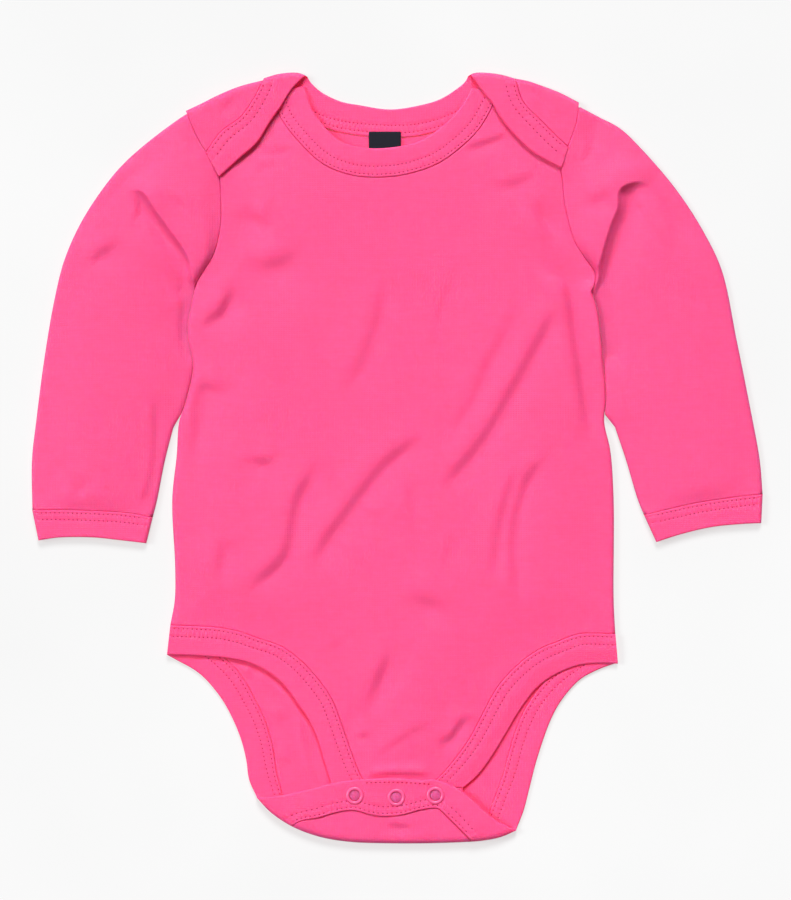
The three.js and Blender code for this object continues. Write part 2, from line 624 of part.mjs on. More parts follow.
function snapRing([x, y]) {
  const profile = [
    [RING_INNER, 0], [RING_OUTER, 0], [RING_OUTER, RING_THICK * 0.5],
    [RING_OUTER - 0.5, RING_THICK], [RING_INNER + 0.5, RING_THICK], [RING_INNER, RING_THICK * 0.5],
    [RING_INNER, 0],
  ];
  const geometry = new THREE.LatheGeometry(profile.map(([r, z]) => new THREE.Vector2(r, z)), 24);
  geometry.rotateX(Math.PI / 2);
  geometry.translate(x, y, RING_Z);
  return toSolid(geometry);
}

function snapStud([x, y]) {
  const geometry = new THREE.CylinderGeometry(STUD_RADIUS, STUD_RADIUS, STUD_TALL, 20);
  geometry.rotateX(Math.PI / 2);
  geometry.translate(x, y, STUD_Z + STUD_TALL / 2);
  return toSolid(geometry);
}

function neckLabel() {
  return prism(rectangle(LABEL), LABEL_Z, LABEL_Z + LABEL_THICK);
}

// The whole garment

const garment = new THREE.Group();

function place(name, solid, look) {
  const { numProp, vertProperties, triVerts } = solid.getMesh();
  const positions = [];
  for (let i = 0; i < vertProperties.length; i += numProp) {
    positions.push(vertProperties[i], vertProperties[i + 1], vertProperties[i + 2]);
  }
  const geometry = new THREE.BufferGeometry();
  geometry.setAttribute('position', new THREE.Float32BufferAttribute(positions, 3));
  geometry.setIndex(Array.from(triVerts));
  geometry.computeVertexNormals();
  const mesh = new THREE.Mesh(geometry, new THREE.MeshStandardMaterial(look));
  mesh.name = name;
  garment.add(mesh);
}

place('back_panel', backPanel(), PINK);
place('front_panel', frontPanel(), PINK);
place('back_neck_binding', backNeckBinding(), PINK_TRIM);
place('front_neck_binding', frontNeckBinding(), PINK_TRIM);
for (const side of ['left', 'right']) {
  place(`sleeve_${side}`, sleeve(side), PINK);
  place(`cuff_${side}`, cuff(side), PINK_TRIM);
  place(`leg_binding_front_${side}`, legBindingFront(side), PINK_TRIM);
  place(`leg_binding_back_${side}`, legBindingBack(side), PINK_TRIM);
}
place('back_snap_placket', backSnapPlacket(), PINK_TRIM);
place('front_snap_placket', frontSnapPlacket(), PINK_TRIM);
SNAP_CENTRES.forEach((centre, i) => {
  place(`snap_ring_${i + 1}`, snapRing(centre), SNAP_PINK);
  place(`snap_stud_${i + 1}`, snapStud(centre), SNAP_PINK);
});
place('neck_label', neckLabel(), NAVY);

export default garment;
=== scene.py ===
import math

import bpy
import numpy as np
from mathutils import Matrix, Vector
from mathutils.geometry import delaunay_2d_cdt


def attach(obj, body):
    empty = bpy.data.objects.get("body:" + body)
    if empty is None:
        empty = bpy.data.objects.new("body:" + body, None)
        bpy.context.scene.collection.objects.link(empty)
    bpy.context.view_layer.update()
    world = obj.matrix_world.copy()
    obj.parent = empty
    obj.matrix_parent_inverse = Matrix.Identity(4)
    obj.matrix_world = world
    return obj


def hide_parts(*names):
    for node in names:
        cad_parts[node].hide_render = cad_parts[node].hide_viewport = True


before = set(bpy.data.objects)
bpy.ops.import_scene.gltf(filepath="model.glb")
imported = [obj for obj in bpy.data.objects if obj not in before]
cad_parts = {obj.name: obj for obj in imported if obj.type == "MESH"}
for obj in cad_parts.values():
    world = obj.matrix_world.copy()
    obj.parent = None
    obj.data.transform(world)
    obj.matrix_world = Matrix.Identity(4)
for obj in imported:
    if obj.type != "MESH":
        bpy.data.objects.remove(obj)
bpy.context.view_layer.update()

MM = 0.001

# Cloth and the heights of the layers' undersides
CLOTH = 1.1
FRONT_WALL = 1.3
BINDING = 1.9
BAND = 1.6
GAP = 0.02  # between pieces that are sewn together
TOUCH = 0.02  # between a sleeve and the body's side, from the armhole down to TOUCH_END
TOUCH_END = 24
TOUCH_JOIN = 7  # below that, the sleeve's own line starts after this stretch
FRONT_Z = 2.2
LAP_Z = 4.4
FLAP_Z = 5.2
LABEL_Z = 2.2
LABEL_THICK = 0.9
SIDE_Z = 1.3  # where front and back meet along the sides
SIDE_ROUND = {"left": 3.2, "right": 1.7}  # of the front along its sides

# How far some edges sink, and over what distance
BINDING_SINK = {"left": 0, "right": 0.9}  # free edges of the front's leg bindings
BINDING_SINK_REACH = 5
LAP_SINK = 0.5  # laps along the armholes
LAP_SINK_REACH = 12
LAP_BINDING_SINK = 0.4  # their bindings, below LAP_BINDING_TOP
LAP_BINDING_TOP = 170
LAP_BINDING_RUN = 14
FLAP_SINK = 0.4
BAND_SINK = 1.3  # snap band towards its two corners
BAND_SINK_ENDS = (40, 62)
BAND_MIDDLE = -2
SNAP_SINK = 0.7  # snap band round each snap
SNAP_SINK_REACH = 6.5

# How far the front rises off the back away from its seams, and over what distance
LOFT = 2.4
LOFT_REACH = 24
FOLD_END = 9  # folds fade out this near to an edge
# The hollow of the front along the free edge of the left lap
LAP_HOLLOW = 0.95
LAP_HOLLOW_REACH = 7
LAP_HOLLOW_ENDS = ((-64, 190), (-85, 166))
# The front's right side stands up where the sleeve sinks beside it
SIDE_RISE = 2.6
SIDE_RISE_WIDTH = 5
SIDE_RISE_ENDS = (46, 108)
SIDE_RISE_RUNS = (14, 12)

# Sleeves
SLEEVE_EDGE = 3.3
SLEEVE_LOFT = 2.3
SLEEVE_REACH = 17
SLEEVE_WALL = 1.2
SLEEVE_ROUND = 3
# Height of its seams, and over what distance the sleeve comes down to them
ARM_SEAM_Z = 3.6
ARM_SEAM_RISE = 1.9  # higher under the lap, between these two places
ARM_SEAM_ENDS = (148, 168)
ARM_SEAM_RUN = 3
ARM_SEAM_LONGER = 9  # a longer run at the cap, between these two places
ARM_SEAM_CAP = (105, 140)
CUFF_SEAM_Z = 4.1
CUFF_SEAM_RUN = (-1.5, 9)
CAP_LIP = 2.8
CAP_LIP_WIDTH = 15
CAP_HOLLOW = 4.0
# How far from the lip the hollow reaches, and how wide its bank is, at its top and at its foot
HOLLOW_REACH = {"left": (13, 7), "right": (19, 10)}
HOLLOW_BANK = {"left": (4.4, 2.8), "right": (4.2, 2.2)}
CAP_RUN_IN = 15
HOLLOW_TOP = 1.9  # no lower than this
HOLLOW_UNDER = 1.25  # and the underside no lower than this
UNDERARM = 3.0  # how far the sleeve sinks beside the body
UNDERARM_WIDTH = {"left": 4, "right": 8}
UNDERARM_END = (48, 62)
CUFF_TALL = 4.4
CUFF_WALL = 1.7

# Snaps
RING_Z = 7.1
RING_OUTER = 4.8
RING_INNER = 3.1
RING_THICK = 0.8
RING_LOW = RING_Z - 0.45
PIMPLE_RADIUS = 2.9
PIMPLE_TALL = 0.45
PIMPLE_LOW = RING_Z - 0.6

# How far in from its sewn edges a piece is rounded
FINE_ROUND = 0.5
SEWN_ROUND = 0.6
ARM_ROUND = 0.7
NECK_ROUND = 0.55
BAND_ROUND = 0.7
LABEL_ROUND = 0.45

# Steps of the fine nets, and rows of points round an outline, from its edge inwards
EDGE_STEP = 2.2
FOLD_STEP = 3
BAND_STEP = 1.0
LIP_STEP = 1.5
LIP_LINES = (-1.6, -0.8, 0, 0.8, 2)  # rows of points along the cap's fold, beside it
NET = 2.1
LAP_NET = 1.6
FLAP_NET = 1.5
UNDER_NET = 3
RINGS = (0.08, 0.3, 0.7, 1.4, 2.2)
FRONT_RINGS = (0.08, 0.3, 0.7, 1.4, 2.4)
THIN_RINGS = (0.08, 0.3, 0.65)
LABEL_RINGS = (0.05, 0.2, 0.45)

# Sewing: rows of stitches from the seam, and a needle hole's distance to the next
STITCH = 2.5
ROWS = (1.7, 6.1)
CUFF_ROWS = (1.6, 5.3)
BAND_ROWS = (1.7, 5.3)
NECK_ROWS = (2.6, 6.8)
GROOVE = 0.04
HOLE = 0.4
HOLE_WIDTH = 0.4
PUCKER = 0.06  # the wider dent along a row
PUCKER_WIDTH = 1.6
STITCH_STATIONS = 4  # of the strip's net, to each stitch
THREAD = 0.3  # radius
THREAD_SIDES = 6

# Two soft lights: the way to each and its strength
LIGHTS = {"top": ((0.06, 1.05, 1.0), 3.5), "left": ((-1.0, 0.2, 0.9), 2.1)}
LIGHT_WIDTH = 22  # degrees
WORLD_LIGHT = 0.22
FLOOR_SIZE = 3.0
FLOOR_Z = -0.0002
FLOOR_GLOW = 0.635
CAMERA_FAR = 3.0
CAMERA_AT = (-0.0011, 0.0044, CAMERA_FAR + 0.004)
CAMERA_SENSOR = 36
SEEN_HEIGHT = 0.495

# Every fold: a bank that falls away from the light, and a hollow at its foot
KEY_WAY = (-0.6, 0.6)  # to the light, between the two above
FLANK = 0.75  # the bank's share of the depth
FOOT = 0.3  # the hollow's share
BANK_STEEP = 1.8
BANK_REACH = 2.6
FOLD_NARROW = 0.8
FOLD_RISE = 0.85

# Curves of the flat pattern, from the top or from the left
ARMHOLE = {
    "left": [[-116.5, 191], [-111, 178], [-105.3, 168], [-98.7, 157], [-97.2, 142], [-97.4, 128],
             [-101, 112.5], [-107, 102.5], [-111.4, 95]],
    "right": [[99.8, 195], [98.5, 185], [93.8, 171], [90.2, 160], [90.8, 152], [92.4, 138],
              [97.6, 119], [103, 110.5], [109, 101], [107, 91.5]],
}
SIDE = {
    "left": [[-111.4, 95], [-115.8, 69], [-112.6, 51], [-116.3, 32], [-120.2, 20], [-121.5, 2],
             [-124, -23], [-122.4, -60], [-122.6, -78], [-125, -91.4]],
    "right": [[107, 91.5], [110.3, 81], [113, 57], [114.7, 32], [113.8, 20], [117.2, 4],
              [119, -23], [119, -78], [119.9, -96.2]],
}
SHOULDER_FOLD = {
    "left": [[-116.5, 191], [-108.6, 194.7], [-97.6, 200.2], [-86.6, 204.6], [-73.4, 208]],
    "right": [[64.6, 208.8], [71.2, 207.6], [78.4, 205.2], [89.4, 201], [99.8, 195.6]],
}
NECK_FOLD = {
    "left": [[-73.4, 209], [-65, 211.4], [-53.6, 211.8], [-49, 209.4]],
    "right": [[37.8, 209.4], [42, 211.8], [51, 211.8], [58, 210.7], [64.5, 208.8]],
}
LAP_SEAM = {
    "left": [[-73.5, 209], [-78.4, 198.6], [-86.1, 187.6], [-97.1, 179.3], [-105.3, 168]],
    "right": [[64.6, 209], [69, 195.8], [78.4, 185.9], [88.3, 176], [93.8, 171]],
}
LAP_EDGE = {
    "left": [[-51.5, 209], [-57.5, 203.5], [-64.6, 192.5], [-70.1, 184.8], [-77.3, 173.3],
             [-86.6, 165], [-98, 154.6]],
    "right": [[41.3, 209], [47, 201.3], [52, 195.3], [56.4, 187.6], [61.9, 180.4], [72.9, 169.4],
              [79.5, 165], [90, 159.5]],
}
BACK_NECK_EDGE = [[-50, 209], [-42.6, 201.9], [-31.6, 196.4], [-20.6, 194.2], [-4, 191.9],
                  [12.4, 194.2], [23.4, 197.5], [33, 203.5], [39.5, 209]]
BACK_NECK_SEAM = [[-73.5, 209], [-63, 196], [-51, 186.5], [-36, 180.4], [-20, 177.4],
                  [-4, 176.4], [12, 177.4], [27, 181.6], [40, 188.5], [53, 198], [64.6, 209]]
FRONT_NECK_EDGE = [[-51.8, 204.5], [-49.8, 200.8], [-47.6, 193.1], [-41.5, 183.7],
                   [-31.6, 174.4], [-16.2, 170.4], [2.5, 171.6], [12.4, 174.4], [23.4, 181.5],
                   [34.4, 192.5], [41, 203.5]]
FRONT_NECK_SEAM = [[-69, 200.5], [-64.1, 187], [-53.6, 173.3], [-41, 161.7], [-26.1, 155.7],
                   [-9.6, 154.3], [6.9, 156.4], [23.4, 162.5], [38.2, 173.8], [46.5, 183.2],
                   [56, 201]]
FRONT_SHOULDER = [[-112, 187], [-97, 194], [-68, 202], [56, 203], [90, 195], [96, 190]]
FRONT_NECK_TOP = 198
LAP_FOOT = {"left": 150, "right": 155}  # where the armholes come out from under the laps
LEG_SEAM = {
    "left": [[-125, -92], [-108.6, -92.6], [-97.6, -93.4], [-86.6, -95.7], [-75.6, -99.6],
             [-64.6, -103.4], [-53.6, -111.1], [-42.6, -123.2], [-36, -133.1], [-31.6, -144.1],
             [-27.8, -155.1], [-21.7, -171.6], [-17, -181]],
    "right": [[119.9, -96.8], [100.4, -96.8], [87.7, -101.2], [78.4, -105.1], [67.4, -112.8],
              [56.4, -124.3], [50.9, -133.1], [44.3, -145.8], [39.9, -154], [30, -167.8],
              [18, -181]],
}
LEG_EDGE = {
    "left": [[-126.8, -108.2], [-108.6, -108.9], [-97.6, -109.7], [-85, -111.7], [-75.6, -115.2],
             [-64.6, -122.7], [-53.6, -137], [-48.1, -145.2], [-44.3, -153.5], [-41, -164.5],
             [-38.2, -173.3], [-36, -181]],
    "right": [[121.3, -113.2], [111.4, -113], [100.4, -114], [89.4, -118], [78.4, -124.9],
              [68.5, -137], [60.2, -150.7], [52.5, -163.4], [44.3, -174.4], [37, -181]],
}
BACK_LEG_SEAM = {
    "left": [[-125.2, -93.5], [-112, -98], [-103, -103.5], [-91, -114], [-84, -123], [-78, -134],
             [-73.6, -143], [-69, -158], [-66.4, -174.4], [-62, -190], [-58, -202.5]],
    "right": [[119.9, -97.2], [108, -104], [98, -110], [88, -117], [80, -124.5], [71, -137],
              [65.5, -149], [61.5, -162], [58, -175], [52.5, -190], [45.4, -210.7]],
}
BACK_LEG_EDGE = {
    "left": [[-126.8, -108.4], [-121, -111.6], [-111.9, -116.6], [-105.3, -122.1],
             [-96.5, -133.1], [-90.5, -144.1], [-86.1, -155.1], [-83.3, -166.1], [-81.7, -177.1],
             [-77.3, -187]],
    "right": [[121.3, -112.6], [110.3, -116.6], [100.4, -122.1], [90.5, -133.1], [84.4, -144.1],
              [76.7, -166.1], [72.6, -182], [69.6, -193.6], [65.2, -205]],
}
BOTTOM_FOLD = [[-77.3, -187], [-70.1, -194.7], [-57.5, -203], [-42.6, -208.5], [-26.1, -211.2],
               [-9.6, -211.9], [14, -212], [34.4, -211.4], [45.4, -210.7], [56.4, -208.7],
               [65.2, -205]]
FLAP_EDGE = [[-77.3, -187], [-66.3, -185.9], [-50.9, -182.6], [-36, -178.8], [-26.1, -177.1],
             [-10, -176], [1.4, -176], [12.4, -177], [20.6, -176.8], [30, -179.9],
             [35.5, -183.2], [41.5, -188.1], [52.5, -198], [65.2, -205]]
BAND_SEAM = [[-58, -202.5], [-53.6, -199.7], [-42.6, -197.5], [-35.5, -195.3], [-24.5, -193.6],
             [-14, -196.2], [-8, -196.9], [1.4, -196.4], [14, -193.1], [22.3, -192.6],
             [25, -194.7], [36, -205.7], [41.5, -211]]
BAND_JOINS = {"left": [[-36, -178.8], [-35.5, -195.3]], "right": [[30.6, -180.2], [25.6, -195.3]]}
BAND_TOP_ROW = [[-16.8, -178.4], [-4, -178], [8, -178.5], [19.5, -179.2]]
HIDDEN_BAND = {"left": -35.6, "right": 36, "top": -181.3, "bottom": -195.5}
SLEEVE_OUTER = {
    "left": [[-116.1, 189.4], [-121.8, 185.6], [-136.1, 174.9], [-148.8, 163.9], [-158.7, 152.9],
             [-173.5, 130.9], [-183.4, 108.9], [-188.9, 86.9], [-194.5, 54], [-198.8, 20.9],
             [-201.2, -1], [-201, -28.8]],
    "right": [[100.6, 193.1], [111.4, 187.4], [122.4, 181.5], [135, 169.4], [153.7, 147.4],
              [168, 125.4], [178.5, 103.4], [186.7, 64.9], [194.4, 26.4], [199.4, -1],
              [201, -20]],
}
SLEEVE_INNER = {
    "left": [[-112.2, 94.5], [-116.7, 69], [-113.6, 51], [-117.6, 36], [-121.3, 24],
             [-127.9, -1], [-132.3, -23.1], [-134.7, -32.7]],
    "right": [[108, 91], [111.3, 81], [114.1, 57], [115.8, 32], [118.5, 20.9], [125.7, -1],
              [132.3, -23.1], [135.6, -31.4]],
}
CUFF_SEAM = {
    "left": [[-201, -28.8], [-190, -28.5], [-148.8, -30.2], [-134.7, -32.7]],
    "right": [[201, -20], [190, -21], [164.7, -24.8], [135.6, -31.4]],
}
CUFF_HEM = {
    "left": [[-197.6, -45.4], [-186.7, -43.8], [-167.5, -43.7], [-153.7, -45.1],
             [-138.2, -46.9]],
    "right": [[200.2, -35.8], [190, -36.3], [173, -38], [156.5, -41.8], [142.4, -46.3]],
}
CAP_FOLD = {
    "left": [[-148, 143.5], [-145.5, 147], [-140.5, 146.8], [-131.7, 134.8], [-123.5, 123.2],
             [-117.4, 115], [-114.1, 108], [-112.9, 99], [-112.5, 95.5]],
    "right": [[140.5, 148.5], [134, 151.8], [127.9, 151.2], [121.8, 147.4], [120.7, 137.5],
              [117.4, 129.3], [113, 115], [110.6, 104.5], [110.2, 99], [108.6, 92]],
}
SNAP_CENTRES = [[-23.5, -185.5], [-0.7, -186.5], [20.8, -185.4]]
LABEL = {"left": -15.8, "right": 1.9, "top": 179.6, "bottom": 166}

# Folds: depth (a ridge where it is negative), half width and the route of the steepest part
FRONT_FOLDS = [
    (2.0, 5.5, [[89.4, 88.6], [78.4, 66.6], [63.5, 39], [45.4, 8.8], [21.7, -19.3]]),
    (1.0, 5.5, [[65.7, 88.6], [58, 68.8], [47, 48.4], [39.9, 30.3], [27.2, 13.8]]),
    (1.3, 6, [[-9.6, 107.3], [-10.7, 81.4], [-22.3, 48.4], [-33.3, 33.6]]),
    (2.1, 5.5, [[-42.6, 0.6], [-55.3, -23.1], [-63, -54.5], [-86.6, -74.3]]),
    (1.9, 5.5, [[16.2, 15.4], [-8, -3.9], [-26.1, -27], [-42.6, -50.6], [-46.5, -65.5]]),
    (1.7, 4.5, [[83.9, 4.4], [71.2, -12.1], [63, -43.5], [65.7, -82]]),
    (1.6, 4.5, [[65.7, -1.1], [54.7, -41.3], [52.5, -68.8]]),
    (2.3, 5.5, [[-4.1, -98.5], [-8, -115], [-19, -142.5]]),
    (2.3, 3.5, [[45.4, -144.1], [36, -145.2], [30, -153.5], [19, -158.4]]),
    (3.0, 5.5, [[74.5, 103.4], [91, 96.3], [96.5, 68.8], [102, 31.9], [107.5, 8.3]]),
    (2.7, 5.5, [[-112.5, 68.8], [-103.1, 75.9], [-96, 81.4], [-90.5, 99.6]]),
    (2.5, 6, [[-88.3, 42.9], [-99.3, 37.4], [-108.6, 39], [-112, -5]]),
    (0.6, 4.5, [[36, 111], [29, 96], [22, 78], [20, 59]]),
    (0.5, 4, [[-26, -29], [-15, -30], [-4, -34]]),
    (1.1, 4, [[5, -7], [7, -25], [12, -40]]),
    (0.7, 4, [[29, -38], [27, -56], [23, -63]]),
    (2.0, 8, [[-2, -76], [19, -80], [34, -90]]),
    (0.6, 2.5, [[20, -146], [7, -151], [-8, -162], [-13, -168]]),
    (1.2, 3, [[-26, -154], [-12, -152]]),
    (0.7, 3.5, [[-32, -98], [-37, -107]]),
    (1.5, 2.5, [[65, 179], [60, 178], [47, 173], [35, 170]]),
    (1.4, 4.5, [[80, 160], [64, 151], [47, 153]]),
    (2.4, 4.5, [[73, 144], [77, 133], [84, 122], [86, 114]]),
    (1.9, 5, [[-85, 3], [-76, -2], [-63, 0]]),
    (2.1, 6, [[-97, -40], [-99, -73]]),
    (0.9, 3, [[-81, 169], [-69, 169], [-55, 171]]),
    (0.7, 3, [[-63, 164], [-81, 158]]),
    (1.4, 2.2, [[-97, 155], [-91, 142]]),
    (1.8, 6, [[-86, 141], [-75, 130], [-66, 130]]),
    (2.4, 9, [[-90, 110], [-70, 106], [-48, 118]]),
    (1.2, 6.5, [[-90, 100], [-96, 81], [-92, 70]]),
    (1.4, 3.5, [[102, 59], [107, 48]]),
    (1.8, 3.5, [[-25, -133], [-29, -152], [-26, -166]]),
    (3.0, 2.0, [[-18, -176.3], [-8, -174.6], [4, -174.2], [20, -175.4]]),
    (-2.0, 4.5, [[103, 98], [105.5, 80], [108.5, 58]]),
]
SLEEVE_FOLDS = {
    "left": [
        (2.0, 5.5, [[-149.3, 120.5], [-165.3, 110.6], [-172.4, 101.8]]),
        (2.4, 6, [[-146, 143], [-137, 131], [-129, 119], [-123, 110], [-120, 100]]),
        (1.6, 3.5, [[-124.6, 95.7], [-117.4, 85.8], [-114.7, 79.8]]),
        (1.2, 2.5, [[-135, 33], [-133.5, 10], [-136, -12], [-140, -27]]),
        (1.2, 4, [[-179.6, -11], [-176.8, -19.8], [-172.4, -25.3]]),
        (-0.5, 6, [[-136, 154], [-146, 150], [-157, 140], [-167, 129], [-175, 118], [-180, 107]]),
        (0.5, 2.5, [[-132, 164], [-147, 157], [-158, 146], [-168, 136]]),
        (1.2, 2.5, [[-120, 180], [-117, 171], [-112, 161]]),
        (1.2, 3.5, [[-129, 146], [-120, 141], [-112, 130]]),
        (0.8, 3, [[-164, -7], [-156, -15]]),
    ],
    "right": [
        (1.6, 6, [[140.5, 149.6], [153.2, 123.2], [163.6, 108.9]]),
        (1.2, 5, [[121.6, 145.2], [110.3, 143], [101.5, 134.8]]),
        (-0.5, 5, [[109, 146], [120, 157], [129, 160], [141, 157], [148, 151], [156, 141],
                   [162, 132]]),
        (0.8, 2.5, [[104, 181], [105, 171], [100, 161]]),
        (-1.2, 3, [[117, 53], [123, 30], [130, 4], [137, -18], [142, -28]]),
        (1.9, 4.5, [[112, 97], [115.5, 80], [118.5, 60], [119.5, 42]]),
    ],
}
LAP_FOLDS = {
    "left": [(0.6, 4, [[-100, 190], [-92, 196], [-86, 200]])],
    "right": [(0.8, 2.5, [[69, 206], [77, 196], [84, 185], [87, 179]])],
}
FLAP_FOLDS = [(1.3, 2.4, [[-9, -200.6], [0, -202.2], [10, -202.6]])]
# Inside the leg openings
BACK_FOLDS = [
    (1.6, 3, [[-74, -141], [-69, -143], [-64, -147]]),
    (1.9, 3, [[-66.3, -154], [-60.8, -156.8], [-57.5, -165], [-55.3, -173]]),
    (1.9, 2.5, [[-54, -140], [-50.9, -150], [-48.1, -165], [-45.4, -177]]),
    (1.6, 2.5, [[-66.3, -166], [-62, -172], [-59, -180]]),
    (1.4, 2, [[-82, -111], [-81.1, -116], [-79.8, -124]]),
    (1.6, 1.8, [[-96, -111.5], [-85, -113.6], [-76.5, -117.4], [-65.8, -124.8], [-55.2, -138.2],
                [-49.8, -146.2], [-46, -154.5], [-42.8, -165], [-40, -173]]),
]


# Plane curves, as arrays of points

CURVE_POINTS = 16  # between two of a table's points
STRETCH_POINTS = 60
SAME_POINT = 0.05
CHUNK = 4000  # points measured at a time


def evenly(line, step):
    """The same line in equal steps, of about the given length."""
    count = max(2, round(run_along(line)[-1] / step))
    return along(line, np.linspace(0, 1, count + 1))


def run_along(line):
    return np.concatenate([[0], np.cumsum(np.linalg.norm(np.diff(line, axis=0), axis=1))])


def along(line, shares):
    """Points at the given shares of the line's length."""
    run = run_along(line)
    at = np.asarray(shares) * run[-1]
    return np.column_stack([np.interp(at, run, line[:, 0]), np.interp(at, run, line[:, 1])])


def curve(points, step=EDGE_STEP):
    """A smooth line (centripetal Catmull-Rom) through the points, in even steps."""
    p = np.asarray(points, float)
    p = np.vstack([2 * p[0] - p[1], p, 2 * p[-1] - p[-2]])
    share = np.linspace(0, 1, CURVE_POINTS, endpoint=False)[:, None]
    parts = []
    for a, b, c, d in zip(p, p[1:], p[2:], p[3:]):
        tb = math.sqrt(np.linalg.norm(b - a))
        tc = tb + math.sqrt(np.linalg.norm(c - b))
        td = tc + math.sqrt(np.linalg.norm(d - c))
        t = tb + (tc - tb) * share
        ab = (a * (tb - t) + b * t) / tb
        bc = (b * (tc - t) + c * (t - tb)) / (tc - tb)
        cd = (c * (td - t) + d * (t - tc)) / (td - tc)
        abc = (ab * (tc - t) + bc * t) / tc
        bcd = (bc * (td - t) + cd * (t - tb)) / (td - tb)
        parts.append((abc * (tc - t) + bcd * (t - tb)) / (tc - tb))
    return evenly(np.vstack(parts + [p[-2:-1]]), step)


def beside(line, distance, closed=False):
    """The line moved sideways, to the left of its direction."""
    if closed:
        before, after = np.roll(line, 1, axis=0), np.roll(line, -1, axis=0)
    else:
        before = np.vstack([line[:1], line[:-1]])
        after = np.vstack([line[1:], line[-1:]])
    way = after - before
    way /= np.linalg.norm(way, axis=1)[:, None]
    return line + distance * np.column_stack([-way[:, 1], way[:, 0]])


def nearest(line, at):
    """For each point: its distance to the line, how far along that is, and the side (+1 left)."""
    start, way = line[:-1], np.diff(line, axis=0)
    size = (way ** 2).sum(1)
    run = run_along(line)
    found = []
    for first in range(0, len(at), CHUNK):
        part = at[first:first + CHUNK]
        off_x = part[:, :1] - start[:, 0]
        off_y = part[:, 1:] - start[:, 1]
        share = np.clip((off_x * way[:, 0] + off_y * way[:, 1]) / size, 0, 1)
        gap = (off_x - share * way[:, 0]) ** 2 + (off_y - share * way[:, 1]) ** 2
        best = gap.argmin(1)
        rows = np.arange(len(part))
        cross = way[best, 0] * off_y[rows, best] - way[best, 1] * off_x[rows, best]
        distance = np.sqrt(gap[rows, best])
        place = run[best] + share[rows, best] * np.sqrt(size[best])
        found.append(np.column_stack([distance, place, np.where(cross < 0, -1, 1)]))
    return np.vstack(found).T


def inside(outline, at):
    within = np.zeros(len(at), bool)
    a, b = outline, np.roll(outline, 1, axis=0)
    for (ax, ay), (bx, by) in zip(a, b):
        if ay == by:
            continue
        crosses = (ay > at[:, 1]) != (by > at[:, 1])
        within ^= crosses & (at[:, 0] < (bx - ax) * (at[:, 1] - ay) / (by - ay) + ax)
    return within


def between(line, first, last):
    """The stretch of a line between the places nearest to two points."""
    _, place, _ = nearest(line, np.array([first, last], float))
    run = run_along(line)
    shares = np.linspace(place[0], place[1], STRETCH_POINTS) / run[-1]
    return along(line, shares)


def below(line, top):
    return line[line[:, 1] < top]


def closed_line(outline):
    return np.vstack([outline, outline[:1]])


def outline_of(*lines):
    """One closed outline from lines end to end, with no point twice."""
    points = np.vstack(lines)
    step = np.linalg.norm(points - np.roll(points, 1, axis=0), axis=1)
    return points[step > SAME_POINT]


def shoelace(outline):
    x, y = outline[:, 0], outline[:, 1]
    return abs(np.dot(x, np.roll(y, 1)) - np.dot(y, np.roll(x, 1))) / 2


def strip_cut(edge, seam):
    """The area and the length of a strip."""
    return shoelace(np.vstack([edge, seam[::-1]])), run_along(seam)[-1]


def rectangle(box, step):
    corners = [[box["left"], box["bottom"]], [box["right"], box["bottom"]],
               [box["right"], box["top"]], [box["left"], box["top"]]]
    return evenly(closed_line(np.array(corners, float)), step)[:-1]


def bell(distance, width):
    return np.exp(-((distance / width) ** 2))


def smoothstep(x, low, high):
    t = np.clip((x - low) / (high - low), 0, 1)
    return t * t * (3 - 2 * t)


# Heights

def rounded(distance, radius):
    """0 at an edge, rising as a quarter round to 1 at the radius."""
    return np.sqrt(1 - (1 - np.clip(distance / radius, 0, 1)) ** 2)


def folds_depth(rows, at):
    """Each fold is a bank that falls away from the light, with a hollow at its foot."""
    depth = np.zeros(len(at))
    for deepest, width, route in rows:
        line = curve(route, FOLD_STEP)
        distance, place, side = nearest(line, at)
        length = run_along(line)[-1]
        run_in = min(4 * width, 0.5 * length)
        size = FOLD_RISE * deepest * smoothstep(np.minimum(place, length - place), 0, run_in)
        if deepest < 0:
            depth += size * bell(distance, width)
            continue
        way = line[-1] - line[0]
        lit = side * np.sign(way[0] * KEY_WAY[1] - way[1] * KEY_WAY[0])
        across = distance * lit / (FOLD_NARROW * width)
        bank = np.tanh(BANK_STEEP * across) * bell(across, BANK_REACH)
        depth += size * (FOOT * bell(across, 1) - FLANK * bank)
    return depth


def drawn_in(low, high, distance, radius, middle):
    """Under and upper heights, rounded to one height at an edge."""
    share = rounded(distance, radius)
    return middle + (low - middle) * share, middle + (high - middle) * share


def with_edges(under, over, edges):
    """Under and upper heights, rounded at each edge: its line, radius and height or None.

    The upper height is a function too, or else a thickness."""
    def heights(at):
        low = under(at)
        high = over(at) if callable(over) else low + over
        for line, radius, level in edges:
            middle = (low + high) / 2 if level is None else level
            low, high = drawn_in(low, high, nearest(line, at)[0], radius, middle)
        return low, high
    return heights


def folded(points, top):
    """A folded edge, which rounds to the middle of its height."""
    return curve(points), top / 2, top / 2


def flat(height):
    return lambda at: np.full(len(at), float(height))


SIGN = {"left": -1, "right": 1}
armhole = {side: curve(ARMHOLE[side]) for side in SIGN}
side_line = {side: curve(SIDE[side]) for side in SIGN}

free_outline = outline_of(
    curve(LAP_EDGE["left"]), below(armhole["left"], LAP_FOOT["left"]), side_line["left"],
    curve(LEG_SEAM["left"]), curve(LEG_SEAM["right"])[::-1], side_line["right"][::-1],
    below(armhole["right"], LAP_FOOT["right"])[::-1], curve(LAP_EDGE["right"])[::-1],
)
free_edge = closed_line(free_outline)
lap_hollow = between(curve(LAP_EDGE["left"]), *LAP_HOLLOW_ENDS)


